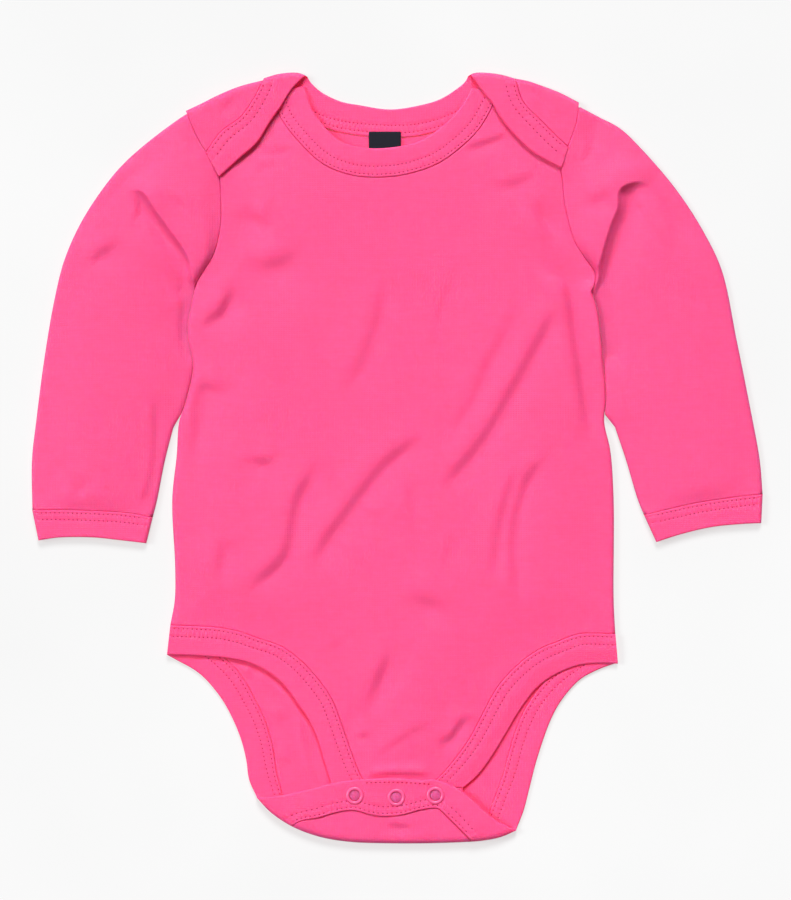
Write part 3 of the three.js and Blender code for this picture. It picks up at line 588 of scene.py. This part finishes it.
def front_low(at):
    distance = nearest(free_edge, at)[0] * inside(free_outline, at)
    loft = LOFT * (1 - bell(distance, LOFT_REACH))
    depth = folds_depth(FRONT_FOLDS, at) * np.minimum(1, distance / FOLD_END)
    depth += LAP_HOLLOW * bell(nearest(lap_hollow, at)[0], LAP_HOLLOW_REACH)
    from_side = nearest(side_line["right"], at)[0]
    low_end, high_end = SIDE_RISE_ENDS
    low_run, high_run = SIDE_RISE_RUNS
    rise = SIDE_RISE * bell(from_side, SIDE_RISE_WIDTH)
    rise *= smoothstep(at[:, 1], low_end, low_end + low_run)
    rise *= 1 - smoothstep(at[:, 1], high_end - high_run, high_end)
    return FRONT_Z + np.maximum(-LAP_HOLLOW, loft - depth) + rise


def back_low(at):
    return np.maximum(0, -folds_depth(BACK_FOLDS, at))


# Meshes

def thicken(points, faces, heights):
    """A closed solid between the two heights of a net of faces in the plane."""
    low, high = heights(points)
    count = len(points)
    edges = {}
    for face in faces:
        for a, b in zip(face, face[1:] + face[:1]):
            if edges.pop((b, a), None) is None:
                edges[(a, b)] = True
    rim = {v for edge in edges for v in edge}
    under = np.arange(count) + count
    for v in rim:
        if high[v] - low[v] < 1e-3:
            under[v] = v
    solid = [list(face) for face in faces]
    solid += [[int(under[v]) for v in reversed(face)] for face in faces]
    for a, b in edges:
        wall = [b, a, int(under[a]), int(under[b])]
        wall = list(dict.fromkeys(wall))
        if len(wall) > 2:
            solid.append(wall)
    top = np.column_stack([points, high])
    bottom = np.column_stack([points, low])
    return np.vstack([top, bottom]), solid


def sheet(outline, heights, net=NET, rings=THIN_RINGS, lines=()):
    """Cloth over an outline, as a net of triangles with rows of points round its edge."""
    outline = outline_of(outline)
    border = closed_line(outline)
    x, y = outline.T
    if np.dot(x, np.roll(y, -1)) < np.dot(y, np.roll(x, -1)):
        outline = outline[::-1]
    points = [outline]
    count = len(outline)
    links = []
    for ring in rings:
        row = beside(outline, ring, closed=True)
        keep = (nearest(border, row)[0] > 0.93 * ring) & inside(outline, row)
        number = count + np.cumsum(keep) - 1
        for i in range(len(row)):
            j = (i + 1) % len(row)
            if keep[i] and keep[j]:
                links.append((int(number[i]), int(number[j])))
        points.append(row[keep])
        count += int(keep.sum())
    clear = max(rings) + 0.5 * net
    kept_lines = []
    for line in lines:
        row = line[inside(outline, line)]
        row = row[nearest(border, row)[0] > clear]
        if len(row) > 1:
            links += [(count + i, count + i + 1) for i in range(len(row) - 1)]
            points.append(row)
            kept_lines.append(row)
            count += len(row)
    low, high = outline.min(0), outline.max(0)
    rise = net * math.sqrt(3) / 2
    rows = []
    for j in range(int((high[1] - low[1]) / rise) + 1):
        xs = np.arange(low[0] + (j % 2) * net / 2, high[0], net)
        rows.append(np.column_stack([xs, np.full(len(xs), low[1] + j * rise)]))
    grid = np.vstack(rows)
    grid = grid[inside(outline, grid)]
    grid = grid[nearest(border, grid)[0] > clear]
    for line in kept_lines:
        grid = grid[nearest(line, grid)[0] > 0.45 * net]
    points.append(grid)
    flat_points = [Vector(p) for p in np.vstack(points)]
    face = [list(range(len(outline)))]
    made = delaunay_2d_cdt(flat_points, links, face, 1, 1e-4, False)
    net_points = np.array([tuple(p) for p in made[0]])
    triangles = np.array([list(f) for f in made[2]])
    triangles = triangles[inside(outline, net_points[triangles].mean(axis=1))]
    return thicken(net_points, triangles.tolist(), heights)


def joined(*solids):
    points, faces, count = [], [], 0
    for some_points, some_faces in solids:
        points.append(some_points)
        faces += [[v + count for v in face] for face in some_faces]
        count += len(some_points)
    return np.vstack(points), faces


def placed(name, data):
    obj = bpy.data.objects.new(name, data)
    bpy.context.scene.collection.objects.link(obj)
    return obj


def make(name, solid, material):
    points, faces = solid
    mesh = bpy.data.meshes.new(name)
    used = np.zeros(len(points), bool)
    for face in faces:
        used[face] = True
    number = np.cumsum(used) - 1
    mesh.from_pydata((points[used] * MM).tolist(), [],
                     [[int(number[v]) for v in face] for face in faces])
    mesh.polygons.foreach_set("use_smooth", [True] * len(mesh.polygons))
    mesh.materials.append(material)
    mesh.validate()
    obj = placed(name, mesh)
    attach(obj, "root")
    return obj


# Folded strips with twin rows of stitching

# Where a strip's net has points: across it, from the seam, beside each row of stitches, between
# the rows and the edge as shares, and from the free edge; along it, from a folded or a plain end
FROM_SEAM = (0.0, 0.12, 0.35, 0.7)
BESIDE_ROW = (-0.5, -0.2, 0, 0.2, 0.5)
MIDDLE_SHARES = (0.2, 0.4, 0.6, 0.8)
FROM_EDGE = (1.6, 0.95, 0.6, 0.3, 0.08, 0.0)
FROM_FOLD = (0.12, 0.45, 0.9, 1.8, 2.6)
FROM_END = (0.03,)
# Radii of its seam and of its free edge
SEAM_ROUND = 0.55
EDGE_ROUND = 0.95
END_REACH = 7  # how far a fold bends the strip's end

stitches = []


def strip(edge, seam, under, thick, rows=ROWS, folds=(), fold_ends=(), sew=True):
    """A strip of folded cloth from its seam to its free edge; its underside is a height."""
    length = run_along(seam)[-1]
    stitches_long = max(2, round(length / STITCH))
    shares = list(np.linspace(0, 1, STITCH_STATIONS * stitches_long + 1))
    for end in (0, 1):
        near = np.array(FROM_FOLD if end in fold_ends else FROM_END) / length
        shares += list(near if end == 0 else 1 - near)
    shares = np.array(sorted(shares))
    a, b = along(seam, shares), along(edge, shares)
    bends = []
    for end, line in zip(fold_ends, folds):
        a, b, pull = end_on(a, b, shares * length, line[0], end, length)
        bends.append((pull, between(line[0], a[-end], b[-end])))
    width = np.linalg.norm(b - a, axis=1)
    fixed = list(FROM_SEAM)
    for row in rows:
        fixed += [row + offset for offset in BESIDE_ROW]
    fixed = sorted(f for f in fixed if f >= 0)
    last = fixed[-1]
    columns = []
    for w, first, final in zip(width, a, b):
        scale = min(1, w / (last + FROM_EDGE[0] + 1))
        places = [f * scale for f in fixed]
        start, stop = last * scale, w - FROM_EDGE[0] * scale
        places += [start + (stop - start) * share for share in MIDDLE_SHARES]
        places += [w - f * scale for f in FROM_EDGE]
        columns.append(first + np.outer(places, (final - first) / max(w, 1e-6)))
    grid = np.array(columns)
    for pull, line in bends:
        share = np.linalg.norm(grid - a[:, None], axis=2) / np.maximum(width, 1e-6)[:, None]
        chord = line[0] + share[..., None] * (line[-1] - line[0])
        grid += pull[:, None, None] * (along(line, share.reshape(-1)).reshape(grid.shape) - chord)
    across = grid.shape[1]
    points = grid.reshape(-1, 2)
    from_seam = np.linalg.norm(grid - a[:, None], axis=2).reshape(-1)
    from_edge = np.linalg.norm(grid - b[:, None], axis=2).reshape(-1)
    phase = np.repeat(np.cos(2 * math.pi * shares * stitches_long), across)

    def heights(at):
        low = under(at)
        high = low + thick
        for row in rows:
            dent = GROOVE + HOLE * np.clip(phase, 0, 1)
            high = high - dent * bell(from_seam - row, HOLE_WIDTH) * sew
            high = high - PUCKER * bell(from_seam - row, PUCKER_WIDTH) * sew
        middle = (low + high) / 2
        for distance, radius in ((from_seam, SEAM_ROUND), (from_edge, EDGE_ROUND)):
            low, high = drawn_in(low, high, distance, radius, middle)
        for line, radius, level in folds:
            low, high = drawn_in(low, high, nearest(line, at)[0], radius, level)
        return low, high

    faces = []
    for i in range(len(shares) - 1):
        for j in range(across - 1):
            k = i * across + j
            faces.append([k, k + 1, k + across + 1, k + across])
    first, second, third = points[0], points[1], points[across]
    turn = np.cross(second - first, third - first)
    if turn < 0:
        faces = [face[::-1] for face in faces]
    if sew:
        low, high = heights(points)
        top = high.reshape(grid.shape[:2])
        turn = (shares * stitches_long) % 1
        at_hole = (turn < 1e-6) | (turn > 1 - 1e-6)
        for row in rows:
            column = fixed.index(row)
            row_of = np.column_stack([grid[at_hole, column], top[at_hole, column]])
            stitches.append(row_of[1 + (0 in fold_ends):len(row_of) - 1 - (1 in fold_ends)])
    return thicken(points, faces, heights)


def end_on(a, b, place, line, end, length):
    """Bends the last stations of a strip so that it ends on a fold's line."""
    distance = place if end == 0 else length - place
    pull = np.clip(1 - distance / END_REACH, 0, 1) ** 2
    index = 0 if end == 0 else -1
    target_a = nearest_point(line, a[index])
    target_b = nearest_point(line, b[index])
    return (a + pull[:, None] * (target_a - a[index]), b + pull[:, None] * (target_b - b[index]),
            pull)


def nearest_point(line, point):
    _, place, _ = nearest(line, point[None])
    return along(line, [place[0] / run_along(line)[-1]])[0]


# A stitch along its length, which runs from -0.5 to 0.5: place, share of its radius, rise
STITCH_FORM = [(-0.24, 0.4, -0.1), (-0.14, 0.9, 0.25), (0, 1, 0.32), (0.14, 0.9, 0.25),
               (0.24, 0.4, -0.1)]


def threads(name, rows, material):
    """Each stitch is a short round piece of yarn that dives into its needle holes; the yarn's
    pink is darkened with painted shade of those holes.
    """
    solids = []
    sides, last = THREAD_SIDES, len(STITCH_FORM) - 1
    turn = np.linspace(0, 2 * math.pi, sides, endpoint=False)
    for holes in rows:
        for start, stop in zip(holes, holes[1:]):
            way = stop - start
            size = np.linalg.norm(way)
            if size < 1 or size > 2 * STITCH:
                continue
            way = way / size
            side = np.cross(way, [0, 0, 1])
            side /= np.linalg.norm(side)
            up = np.cross(side, way)
            points = []
            for share, radius, rise in STITCH_FORM:
                middle = start + way * size * share + up * rise
                ring = np.outer(np.cos(turn), side) + np.outer(np.sin(turn), up)
                points.append(middle + ring * radius * THREAD)
            points = np.vstack(points)
            faces = [list(range(sides))[::-1], list(range(last * sides, (last + 1) * sides))]
            for i in range(last):
                for j in range(sides):
                    k = (j + 1) % sides
                    faces.append([i * sides + j, i * sides + k, (i + 1) * sides + k,
                                  (i + 1) * sides + j])
            solids.append((points, faces))
    return make(name, joined(*solids), material)


# Materials

CLOTH_SURFACE = {
    "Roughness": 0.72,
    "Specular IOR Level": 0.5,
    "Sheen Weight": 0.02,
    "Sheen Roughness": 0.5,
    "Sheen Tint": (1.0, 0.55, 0.75, 1),
    "Subsurface Weight": 0.6,
    "Subsurface Scale": 0.005,
    "Subsurface Radius": (1.0, 0.07, 0.2),
}
# Knit loops: direction, scale and distortion
KNIT = [("X", 220.0, 0.6), ("Y", 290.0, 1.2)]


def set_inputs(node, inputs):
    """Links or sets the named inputs of a node."""
    for key, value in inputs.items():
        if isinstance(value, bpy.types.NodeSocket):
            node.id_data.links.new(value, node.inputs[key])
        else:
            node.inputs[key].default_value = value


def add(tree, kind, inputs, **settings):
    node = tree.nodes.new("ShaderNode" + kind)
    for key, value in settings.items():
        setattr(node, key, value)
    set_inputs(node, inputs)
    return node


def noise(tree, place, scale, detail=3.0, roughness=0.6):
    return add(tree, "TexNoise", {"Vector": place, "Scale": scale, "Detail": detail,
                                  "Roughness": roughness}).outputs[0]


def start_material(name):
    material = bpy.data.materials.new(name)
    material.use_nodes = True
    tree = material.node_tree
    place = add(tree, "TexCoord", {}).outputs["Object"]
    return material, tree, tree.nodes["Principled BSDF"], place


def cloth_material(name, colour, deep):
    """Combed jersey: fine knit stitches, faint sideways slubs and a soft nap."""
    material, tree, surface, place = start_material(name)
    stretched = add(tree, "Mapping", {"Vector": place, "Scale": (90, 900, 90)}).outputs[0]
    streaks, mottle = noise(tree, stretched, 1.0), noise(tree, place, 260.0, 4.0, 0.7)
    uneven = add(tree, "Math", {0: streaks, 1: mottle}, operation="ADD").outputs[0]
    share = add(tree, "MapRange", {"Value": uneven, "From Min": 0.72, "From Max": 1.28,
                                   "To Min": 1.0, "To Max": 0.0})
    mixed = add(tree, "Mix", {"Factor": share.outputs[0]}, data_type="RGBA")
    colours = {"A": (*colour, 1), "B": (*deep, 1)}
    for socket in mixed.inputs:
        if socket.type == "RGBA":
            socket.default_value = colours[socket.name]
    colour_out = [s for s in mixed.outputs if s.type == "RGBA"][0]
    waves = []
    for way, scale, distortion in KNIT:
        wave = add(tree, "TexWave", {"Vector": place, "Scale": scale, "Distortion": distortion,
                                     "Detail": 1.0, "Detail Scale": 2.0},
                   wave_type="BANDS", bands_direction=way)
        waves.append(wave.outputs["Fac"])
    loops = add(tree, "Math", {0: waves[0], 1: waves[1]}, operation="MULTIPLY").outputs[0]
    nap = add(tree, "Math", {0: loops, 1: uneven}, operation="ADD").outputs[0]
    bump = add(tree, "Bump", {"Strength": 0.35, "Distance": 0.00025, "Height": nap})
    set_inputs(surface, CLOTH_SURFACE)
    set_inputs(surface, {"Base Color": colour_out, "Normal": bump.outputs[0]})
    return material


def plain_material(name, colour, roughness, specular, grain, depth, coat=0.0):
    material, tree, surface, place = start_material(name)
    speckle = noise(tree, place, grain)
    tone = add(tree, "ValToRGB", {"Fac": speckle})
    for stop, share in zip(tone.color_ramp.elements, (0.8, 1.15)):
        stop.color = (*(min(1, c * share) for c in colour), 1)
    bump = add(tree, "Bump", {"Strength": 0.4, "Distance": depth, "Height": speckle})
    set_inputs(surface, {
        "Base Color": tone.outputs[0], "Normal": bump.outputs[0], "Roughness": roughness,
        "Specular IOR Level": specular, "Coat Weight": coat, "Coat Roughness": 0.15,
    })
    return material


PINK = (0.98, 0.064, 0.231)
DEEP_PINK = (0.96, 0.052, 0.204)

jersey = cloth_material("jersey", PINK, DEEP_PINK)
trim = cloth_material("binding_jersey", PINK, DEEP_PINK)
# Stitching yarn: its pink is darkened as painted shade of the needle holes it sits on.
thread_with_painted_hole_shade = plain_material("thread_with_painted_hole_shade", (0.48, 0.008, 0.07), 0.8, 0.2, 900, 0.0001)
lacquer = plain_material("snap_lacquer", (0.95, 0.08, 0.25), 0.35, 0.5, 500, 0.00002, coat=0.2)
woven = plain_material("label_satin", (0.008, 0.009, 0.016), 0.7, 0.15, 1500, 0.0001)


# The back, with its laps and flap, which fold forward over the front

def back_body():
    neck = beside(curve(BACK_NECK_SEAM), -GAP)
    bottom = between(curve(BOTTOM_FOLD), BACK_LEG_SEAM["right"][-1], BACK_LEG_SEAM["left"][-1])
    outline = np.vstack([
        curve(SHOULDER_FOLD["left"]), neck[1:-1], curve(SHOULDER_FOLD["right"]),
        armhole["right"][1:], side_line["right"][1:], curve(BACK_LEG_SEAM["right"]),
        bottom[1:-1], curve(BACK_LEG_SEAM["left"])[::-1], side_line["left"][::-1],
        armhole["left"][::-1][1:-1],
    ])
    edges = [
        folded(SHOULDER_FOLD["left"], LAP_Z + CLOTH),
        folded(SHOULDER_FOLD["right"], LAP_Z + CLOTH),
        folded(BOTTOM_FOLD, FLAP_Z + CLOTH),
        (side_line["left"], SIDE_Z, SIDE_Z), (side_line["right"], SIDE_Z, SIDE_Z),
        (neck, FINE_ROUND, None),
    ]
    for side in SIGN:
        leg = curve(BACK_LEG_SEAM[side])
        edges += [(armhole[side], FINE_ROUND, None), (leg, FINE_ROUND, None)]
    heights = with_edges(back_low, CLOTH, edges)
    return sheet(outline, heights, rings=RINGS), outline


def lap(side):
    fold = folded(SHOULDER_FOLD[side], LAP_Z + CLOTH)
    seam = beside(curve(LAP_SEAM[side]), SIGN[side] * GAP)
    arm = between(armhole[side], armhole[side][0], LAP_SEAM[side][-1])
    if side == "left":
        outline = np.vstack([fold[0], seam[1:-1], arm[::-1][:-1]])
    else:
        outline = np.vstack([seam[1:-1], arm[::-1], fold[0][::-1][1:]])

    def low(at):
        rise = smoothstep(nearest(arm, at)[0], 0, LAP_SINK_REACH)
        return LAP_Z - LAP_SINK + LAP_SINK * rise - folds_depth(LAP_FOLDS[side], at)

    edges = [fold, (seam, FINE_ROUND, None), (arm, SEWN_ROUND, None)]
    heights = with_edges(low, CLOTH, edges)
    return sheet(outline, heights, net=LAP_NET, rings=RINGS), outline


def flap():
    fold = folded(BOTTOM_FOLD, FLAP_Z + CLOTH)
    seam = beside(curve(BAND_SEAM), -GAP)
    outline = np.vstack([between(fold[0], BAND_SEAM[0], BAND_SEAM[-1]), seam[::-1][1:-1]])

    def low(at):
        return FLAP_Z - FLAP_SINK - folds_depth(FLAP_FOLDS, at)

    heights = with_edges(low, CLOTH, [fold, (seam, SEWN_ROUND, None)])
    return sheet(outline, heights, net=FLAP_NET, rings=RINGS), outline


def front_body():
    neck = below(beside(curve(FRONT_NECK_SEAM), -GAP), FRONT_NECK_TOP)
    shoulder = np.array(FRONT_SHOULDER, float)
    corner = {"left": shoulder[0], "right": shoulder[-1]}
    hole = {side: below(armhole[side], corner[side][1]) for side in SIGN}
    seams = {side: beside(curve(LEG_SEAM[side]), -SIGN[side] * GAP) for side in SIGN}
    outline = np.vstack([
        hole["left"], side_line["left"][1:-1], seams["left"], seams["right"][::-1],
        side_line["right"][::-1][1:-1], hole["right"][::-1], shoulder[::-1][1:2],
        neck[::-1], shoulder[1:2],
    ])
    edges = [(side_line[side], SIDE_ROUND[side], SIDE_Z) for side in SIGN]
    edges.append((neck, NECK_ROUND, None))
    for side in SIGN:
        edges += [(armhole[side], ARM_ROUND, None), (seams[side], SEWN_ROUND, None)]
    heights = with_edges(front_low, FRONT_WALL, edges)
    return sheet(outline, heights, rings=FRONT_RINGS), outline


def sleeve(side):
    """A flattened tube: its upper side with the cap's fold and hollow, and a flat underside."""
    sign = SIGN[side]
    outer, inner = curve(SLEEVE_OUTER[side]), curve(SLEEVE_INNER[side])
    beside_body = side_line[side][side_line[side][:, 1] > TOUCH_END] + [sign * TOUCH, 0]
    inner = evenly(np.vstack([beside_body[1:], below(inner, TOUCH_END - TOUCH_JOIN)]), EDGE_STEP)
    hole = below(armhole[side] + [sign * GAP, 0], outer[0, 1])
    seam = curve(CUFF_SEAM[side])
    outline = np.vstack([outer, seam[1:-1], inner[::-1], hole[::-1]])
    lip = curve(CAP_FOLD[side], LIP_STEP)
    lip_length = run_along(lip)[-1]
    reach_top, reach_foot = HOLLOW_REACH[side]
    bank_top, bank_foot = HOLLOW_BANK[side]

    def cap(at):
        """The lip's rise on one side of the cap's fold, and the hollow on the other."""
        distance, place, turn = nearest(lip, at)
        share = place / lip_length
        reach = reach_top + (reach_foot - reach_top) * share
        bank = bank_top + (bank_foot - bank_top) * share
        rise = CAP_LIP * bell(distance, CAP_LIP_WIDTH)
        fall = -CAP_HOLLOW * bell(distance, reach)
        from_lip = -distance * turn * sign
        risen = np.where(from_lip > 0, 1, np.exp(-distance / bank))
        return (fall + (rise - fall) * risen) * smoothstep(place, 0, CAP_RUN_IN)

    def high(at):
        from_inner = nearest(inner, at)[0]
        edge = np.minimum(nearest(outer, at)[0], from_inner)
        loft = SLEEVE_LOFT * (1 - bell(edge, SLEEVE_REACH))
        underarm = UNDERARM * np.exp(-((from_inner / UNDERARM_WIDTH[side]) ** 4))
        depth = folds_depth(SLEEVE_FOLDS[side], at) * np.minimum(1, edge / FOLD_END)
        depth += underarm * smoothstep(at[:, 1], *UNDERARM_END)
        height = SLEEVE_EDGE + loft - depth + cap(at)
        seam_z = ARM_SEAM_Z + ARM_SEAM_RISE * smoothstep(at[:, 1], *ARM_SEAM_ENDS)
        seam_run = ARM_SEAM_RUN + ARM_SEAM_LONGER * smoothstep(at[:, 1], *ARM_SEAM_CAP)
        from_hole = nearest(hole, at)[0]
        height = seam_z + (height - seam_z) * smoothstep(from_hole, -1, seam_run)
        from_cuff = nearest(seam, at)[0]
        height = CUFF_SEAM_Z + (height - CUFF_SEAM_Z) * smoothstep(from_cuff, *CUFF_SEAM_RUN)
        return np.maximum(HOLLOW_TOP, height)

    def under(at):
        return np.maximum(HOLLOW_UNDER, high(at) - SLEEVE_WALL)

    nose = SLEEVE_EDGE / 2
    top_edges = [(outer, SLEEVE_ROUND, nose), (inner, SLEEVE_ROUND, nose),
                 (hole, ARM_ROUND, None), (seam, SEWN_ROUND, None)]
    low_edges = [(outer, nose, nose), (inner, nose, nose), (hole, FINE_ROUND, None),
                 (seam, FINE_ROUND, None)]
    lines = [beside(lip, -sign * offset) for offset in LIP_LINES]
    top = sheet(outline, with_edges(under, high, top_edges), rings=RINGS, lines=lines)
    bottom = sheet(outline, with_edges(flat(0), SLEEVE_WALL, low_edges), net=UNDER_NET,
                   rings=RINGS)
    return joined(top, bottom), outline


def cuff(side):
    seam, hem = curve(CUFF_SEAM[side]) - [0, GAP], curve(CUFF_HEM[side])
    nose = CUFF_TALL / 2
    folds = [(np.array([seam[end], hem[end]]), nose, nose) for end in (0, -1)]
    layers = []
    for low, sew in ((CUFF_TALL - CUFF_WALL, True), (0, False)):
        layers.append(strip(hem, seam, flat(low), CUFF_WALL, folds=folds, fold_ends=(0, 1),
                            rows=CUFF_ROWS, sew=sew))
    return joined(*layers)


def lap_binding_low(at):
    return LAP_Z - LAP_BINDING_SINK * smoothstep(LAP_BINDING_TOP - at[:, 1], 0, LAP_BINDING_RUN)


def back_neck_binding():
    folds = [folded(NECK_FOLD[side], LAP_Z + BINDING) for side in SIGN]
    parts = [strip(curve(BACK_NECK_EDGE), curve(BACK_NECK_SEAM), flat(0), BINDING, folds=folds,
                   fold_ends=(0, 1), rows=NECK_ROWS)]
    for side, fold in zip(SIGN, folds):
        parts.append(strip(curve(LAP_EDGE[side]), curve(LAP_SEAM[side]), lap_binding_low,
                           BINDING, folds=[fold], fold_ends=(0,)))
    return joined(*parts)


def band_low(at):
    """The snap band sinks a little towards its two corners."""
    return FLAP_Z - BAND_SINK * smoothstep(np.abs(at[:, 0] - BAND_MIDDLE), *BAND_SINK_ENDS)


def band_part(name):
    """A stretch of the band along the flap's edge, and its cut."""
    fold = folded(BOTTOM_FOLD, FLAP_Z + BINDING)
    left, right = BAND_JOINS["left"], BAND_JOINS["right"]
    edge_ends, seam_ends, low, folds, fold_ends = {
        "left": ((FLAP_EDGE[0], left[0]), (BAND_SEAM[0], left[1]), band_low, [fold], (0,)),
        "middle": ((left[0], right[0]), (left[1], right[1]), snap_band_low, (), ()),
        "right": ((right[0], FLAP_EDGE[-1]), (right[1], BAND_SEAM[-1]), band_low, [fold], (1,)),
    }[name]
    edge = between(curve(FLAP_EDGE, BAND_STEP), *edge_ends)
    seam = between(curve(BAND_SEAM, BAND_STEP), *seam_ends)
    solid = strip(edge, seam, low, BINDING, folds=folds, fold_ends=fold_ends, rows=BAND_ROWS)
    return solid, strip_cut(edge, seam)


def snap_band_low(at):
    """Dimples where the snaps press the band down."""
    low = band_low(at)
    for centre in SNAP_CENTRES:
        distance = np.linalg.norm(at - centre, axis=1)
        low = low - SNAP_SINK * bell(distance, SNAP_SINK_REACH)
    return low


def leg_binding_back(side):
    """The binding along the leg and its end on the flap, with the cuts of both."""
    fold = folded(BOTTOM_FOLD, FLAP_Z + BINDING)
    edge, seam = curve(BACK_LEG_EDGE[side]), curve(BACK_LEG_SEAM[side])
    lower = strip(edge, seam, flat(0), BINDING, folds=[fold], fold_ends=(1,))
    band, band_cut = band_part(side)
    return joined(lower, band), [strip_cut(edge, seam), band_cut]


def leg_binding_front(side):
    edge, seam = curve(LEG_EDGE[side]), curve(LEG_SEAM[side])

    def low(at):
        return FRONT_Z - BINDING_SINK[side] * bell(nearest(edge, at)[0], BINDING_SINK_REACH)

    return strip(edge, seam, low, BINDING), [strip_cut(edge, seam)]


# Snaps and label

def turned(profile, centre, level, sides=48):
    """A closed profile of radii and heights turned round an upright axis."""
    angles = np.linspace(0, 2 * math.pi, sides, endpoint=False)
    points = [[centre[0] + r * math.cos(a), centre[1] + r * math.sin(a), level + z]
              for a in angles for r, z in profile]
    size = len(profile)
    faces = []
    for i in range(sides):
        for j in range(size):
            k, n = (i + 1) % sides, (j + 1) % size
            faces.append([i * size + j, k * size + j, k * size + n, i * size + n])
    return np.array(points), faces


def ring(centre):
    middle, half = (RING_OUTER + RING_INNER) / 2, (RING_OUTER - RING_INNER) / 2
    profile = []
    for angle in np.linspace(0, 2 * math.pi, 16, endpoint=False):
        rise = math.sin(angle) * (0.7 if math.sin(angle) > 0 else 0.3)
        profile.append((middle + half * math.cos(angle), RING_THICK * (0.3 + rise)))
    return turned(profile, centre, RING_LOW)


def dome(centre, radius, low, tall, rings=10, sides=40):
    """A low round swelling with a flat underside."""
    points, faces = [[centre[0], centre[1], low + tall]], []
    for i in range(1, rings + 1):
        r = radius * i / rings
        z = low + tall * math.cos(i / rings * math.pi / 2)
        for a in np.linspace(0, 2 * math.pi, sides, endpoint=False):
            points.append([centre[0] + r * math.cos(a), centre[1] + r * math.sin(a), z])
    for j in range(sides):
        k = (j + 1) % sides
        faces.append([0, 1 + j, 1 + k])
        for i in range(rings - 1):
            a, b = 1 + i * sides, 1 + (i + 1) * sides
            faces.append([a + j, b + j, b + k, a + k])
    faces.append([1 + (rings - 1) * sides + j for j in range(sides)][::-1])
    return np.array(points), faces


def lay(name, solid, material):
    """A sheet of cloth in the place of its CAD node."""
    obj = make(f"{name}_cloth", solid, material)
    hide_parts(name)


def lay_strip(name, solid, cuts, rests_on):
    """A folded strip; its cut, which adds up stretches, each an area and a length, is not used.
    """
    lay(name, solid, trim)


def build():
    parts = [back_body(), lap("left"), lap("right"), flap()]
    nets, outlines = zip(*parts)
    lay("back_panel", joined(*nets), jersey)
    net, outline = front_body()
    lay("front_panel", net, jersey)
    for side in SIGN:
        net, outline = sleeve(side)
        lay(f"sleeve_{side}", net, jersey)
        cuff_cut = strip_cut(curve(CUFF_HEM[side]), curve(CUFF_SEAM[side]))
        lay_strip(f"cuff_{side}", cuff(side), [cuff_cut, cuff_cut], ["ground"])
        lay_strip(f"leg_binding_front_{side}", *leg_binding_front(side), ["back_panel_cloth"])
        lay_strip(f"leg_binding_back_{side}", *leg_binding_back(side), ["ground"])
    lines = [(BACK_NECK_EDGE, BACK_NECK_SEAM), (LAP_EDGE["left"], LAP_SEAM["left"]),
             (LAP_EDGE["right"], LAP_SEAM["right"])]
    lay_strip("back_neck_binding", back_neck_binding(),
              [strip_cut(curve(edge), curve(seam)) for edge, seam in lines], ["ground"])
    edge, seam = curve(FRONT_NECK_EDGE), curve(FRONT_NECK_SEAM)
    lay_strip("front_neck_binding", strip(edge, seam, front_low, BINDING),
              [strip_cut(edge, seam)], ["back_neck_binding_cloth"])
    solid, cut = band_part("middle")
    lay_strip("back_snap_placket", solid, [cut], ["front_snap_placket_cloth"])
    hidden = rectangle(HIDDEN_BAND, 2)
    heights = with_edges(flat(FRONT_Z), BAND, [(closed_line(hidden), BAND_ROUND, None)])
    lay_strip("front_snap_placket", sheet(hidden, heights),
              [(shoelace(hidden), HIDDEN_BAND["right"] - HIDDEN_BAND["left"])],
              ["back_panel_cloth"])
    for number, centre in enumerate(SNAP_CENTRES, 1):
        obj = make(f"snap_ring_{number}_lacquered", ring(centre), lacquer)
        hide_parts(f"snap_ring_{number}")
        pimple = dome(centre, PIMPLE_RADIUS, PIMPLE_LOW, PIMPLE_TALL)
        make(f"snap_pimple_{number}", pimple, trim)
        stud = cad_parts[f"snap_stud_{number}"]
        stud.data.materials.clear()
        stud.data.materials.append(lacquer)
    row = evenly(curve(BAND_TOP_ROW), STITCH)
    stitches.append(np.column_stack([row, snap_band_low(row) + BINDING]))
    threads("stitches", stitches, thread_with_painted_hole_shade)
    label = rectangle(LABEL, 1)
    heights = with_edges(flat(LABEL_Z), LABEL_THICK, [(closed_line(label), LABEL_ROUND, None)])
    lay("neck_label", sheet(label, heights, net=1, rings=LABEL_RINGS), woven)


def studio():
    """A pale floor, two soft lights and a camera straight above."""
    scene = bpy.context.scene
    mesh = bpy.data.meshes.new("floor")
    corners = [(-1, -1), (1, -1), (1, 1), (-1, 1)]
    mesh.from_pydata([(x * FLOOR_SIZE, y * FLOOR_SIZE, FLOOR_Z) for x, y in corners], [],
                     [[0, 1, 2, 3]])
    floor = placed("floor", mesh)
    paper = plain_material("floor", (0.22, 0.22, 0.222), 0.9, 0.1, 3, 0.00001)
    set_inputs(paper.node_tree.nodes["Principled BSDF"],
               {"Emission Color": (1, 1, 0.995, 1), "Emission Strength": FLOOR_GLOW})
    mesh.materials.append(paper)

    for name, (way, energy) in LIGHTS.items():
        light = bpy.data.lights.new(name, "SUN")
        light.energy = energy
        light.angle = math.radians(LIGHT_WIDTH)
        lamp = placed(name, light)
        lamp.rotation_euler = Vector(way).to_track_quat("Z", "Y").to_euler()

    scene.world = bpy.data.worlds.new("studio")
    scene.world.use_nodes = True
    set_inputs(scene.world.node_tree.nodes["Background"],
               {"Color": (1, 1, 1, 1), "Strength": WORLD_LIGHT})

    view = bpy.data.cameras.new("camera")
    view.sensor_width = CAMERA_SENSOR
    view.lens = CAMERA_SENSOR * CAMERA_FAR / SEEN_HEIGHT
    view.clip_end = 20
    scene.camera = placed("camera", view)
    scene.camera.location = CAMERA_AT
    scene.view_settings.view_transform = "Standard"
    scene.view_settings.look = "None"


build()
studio()
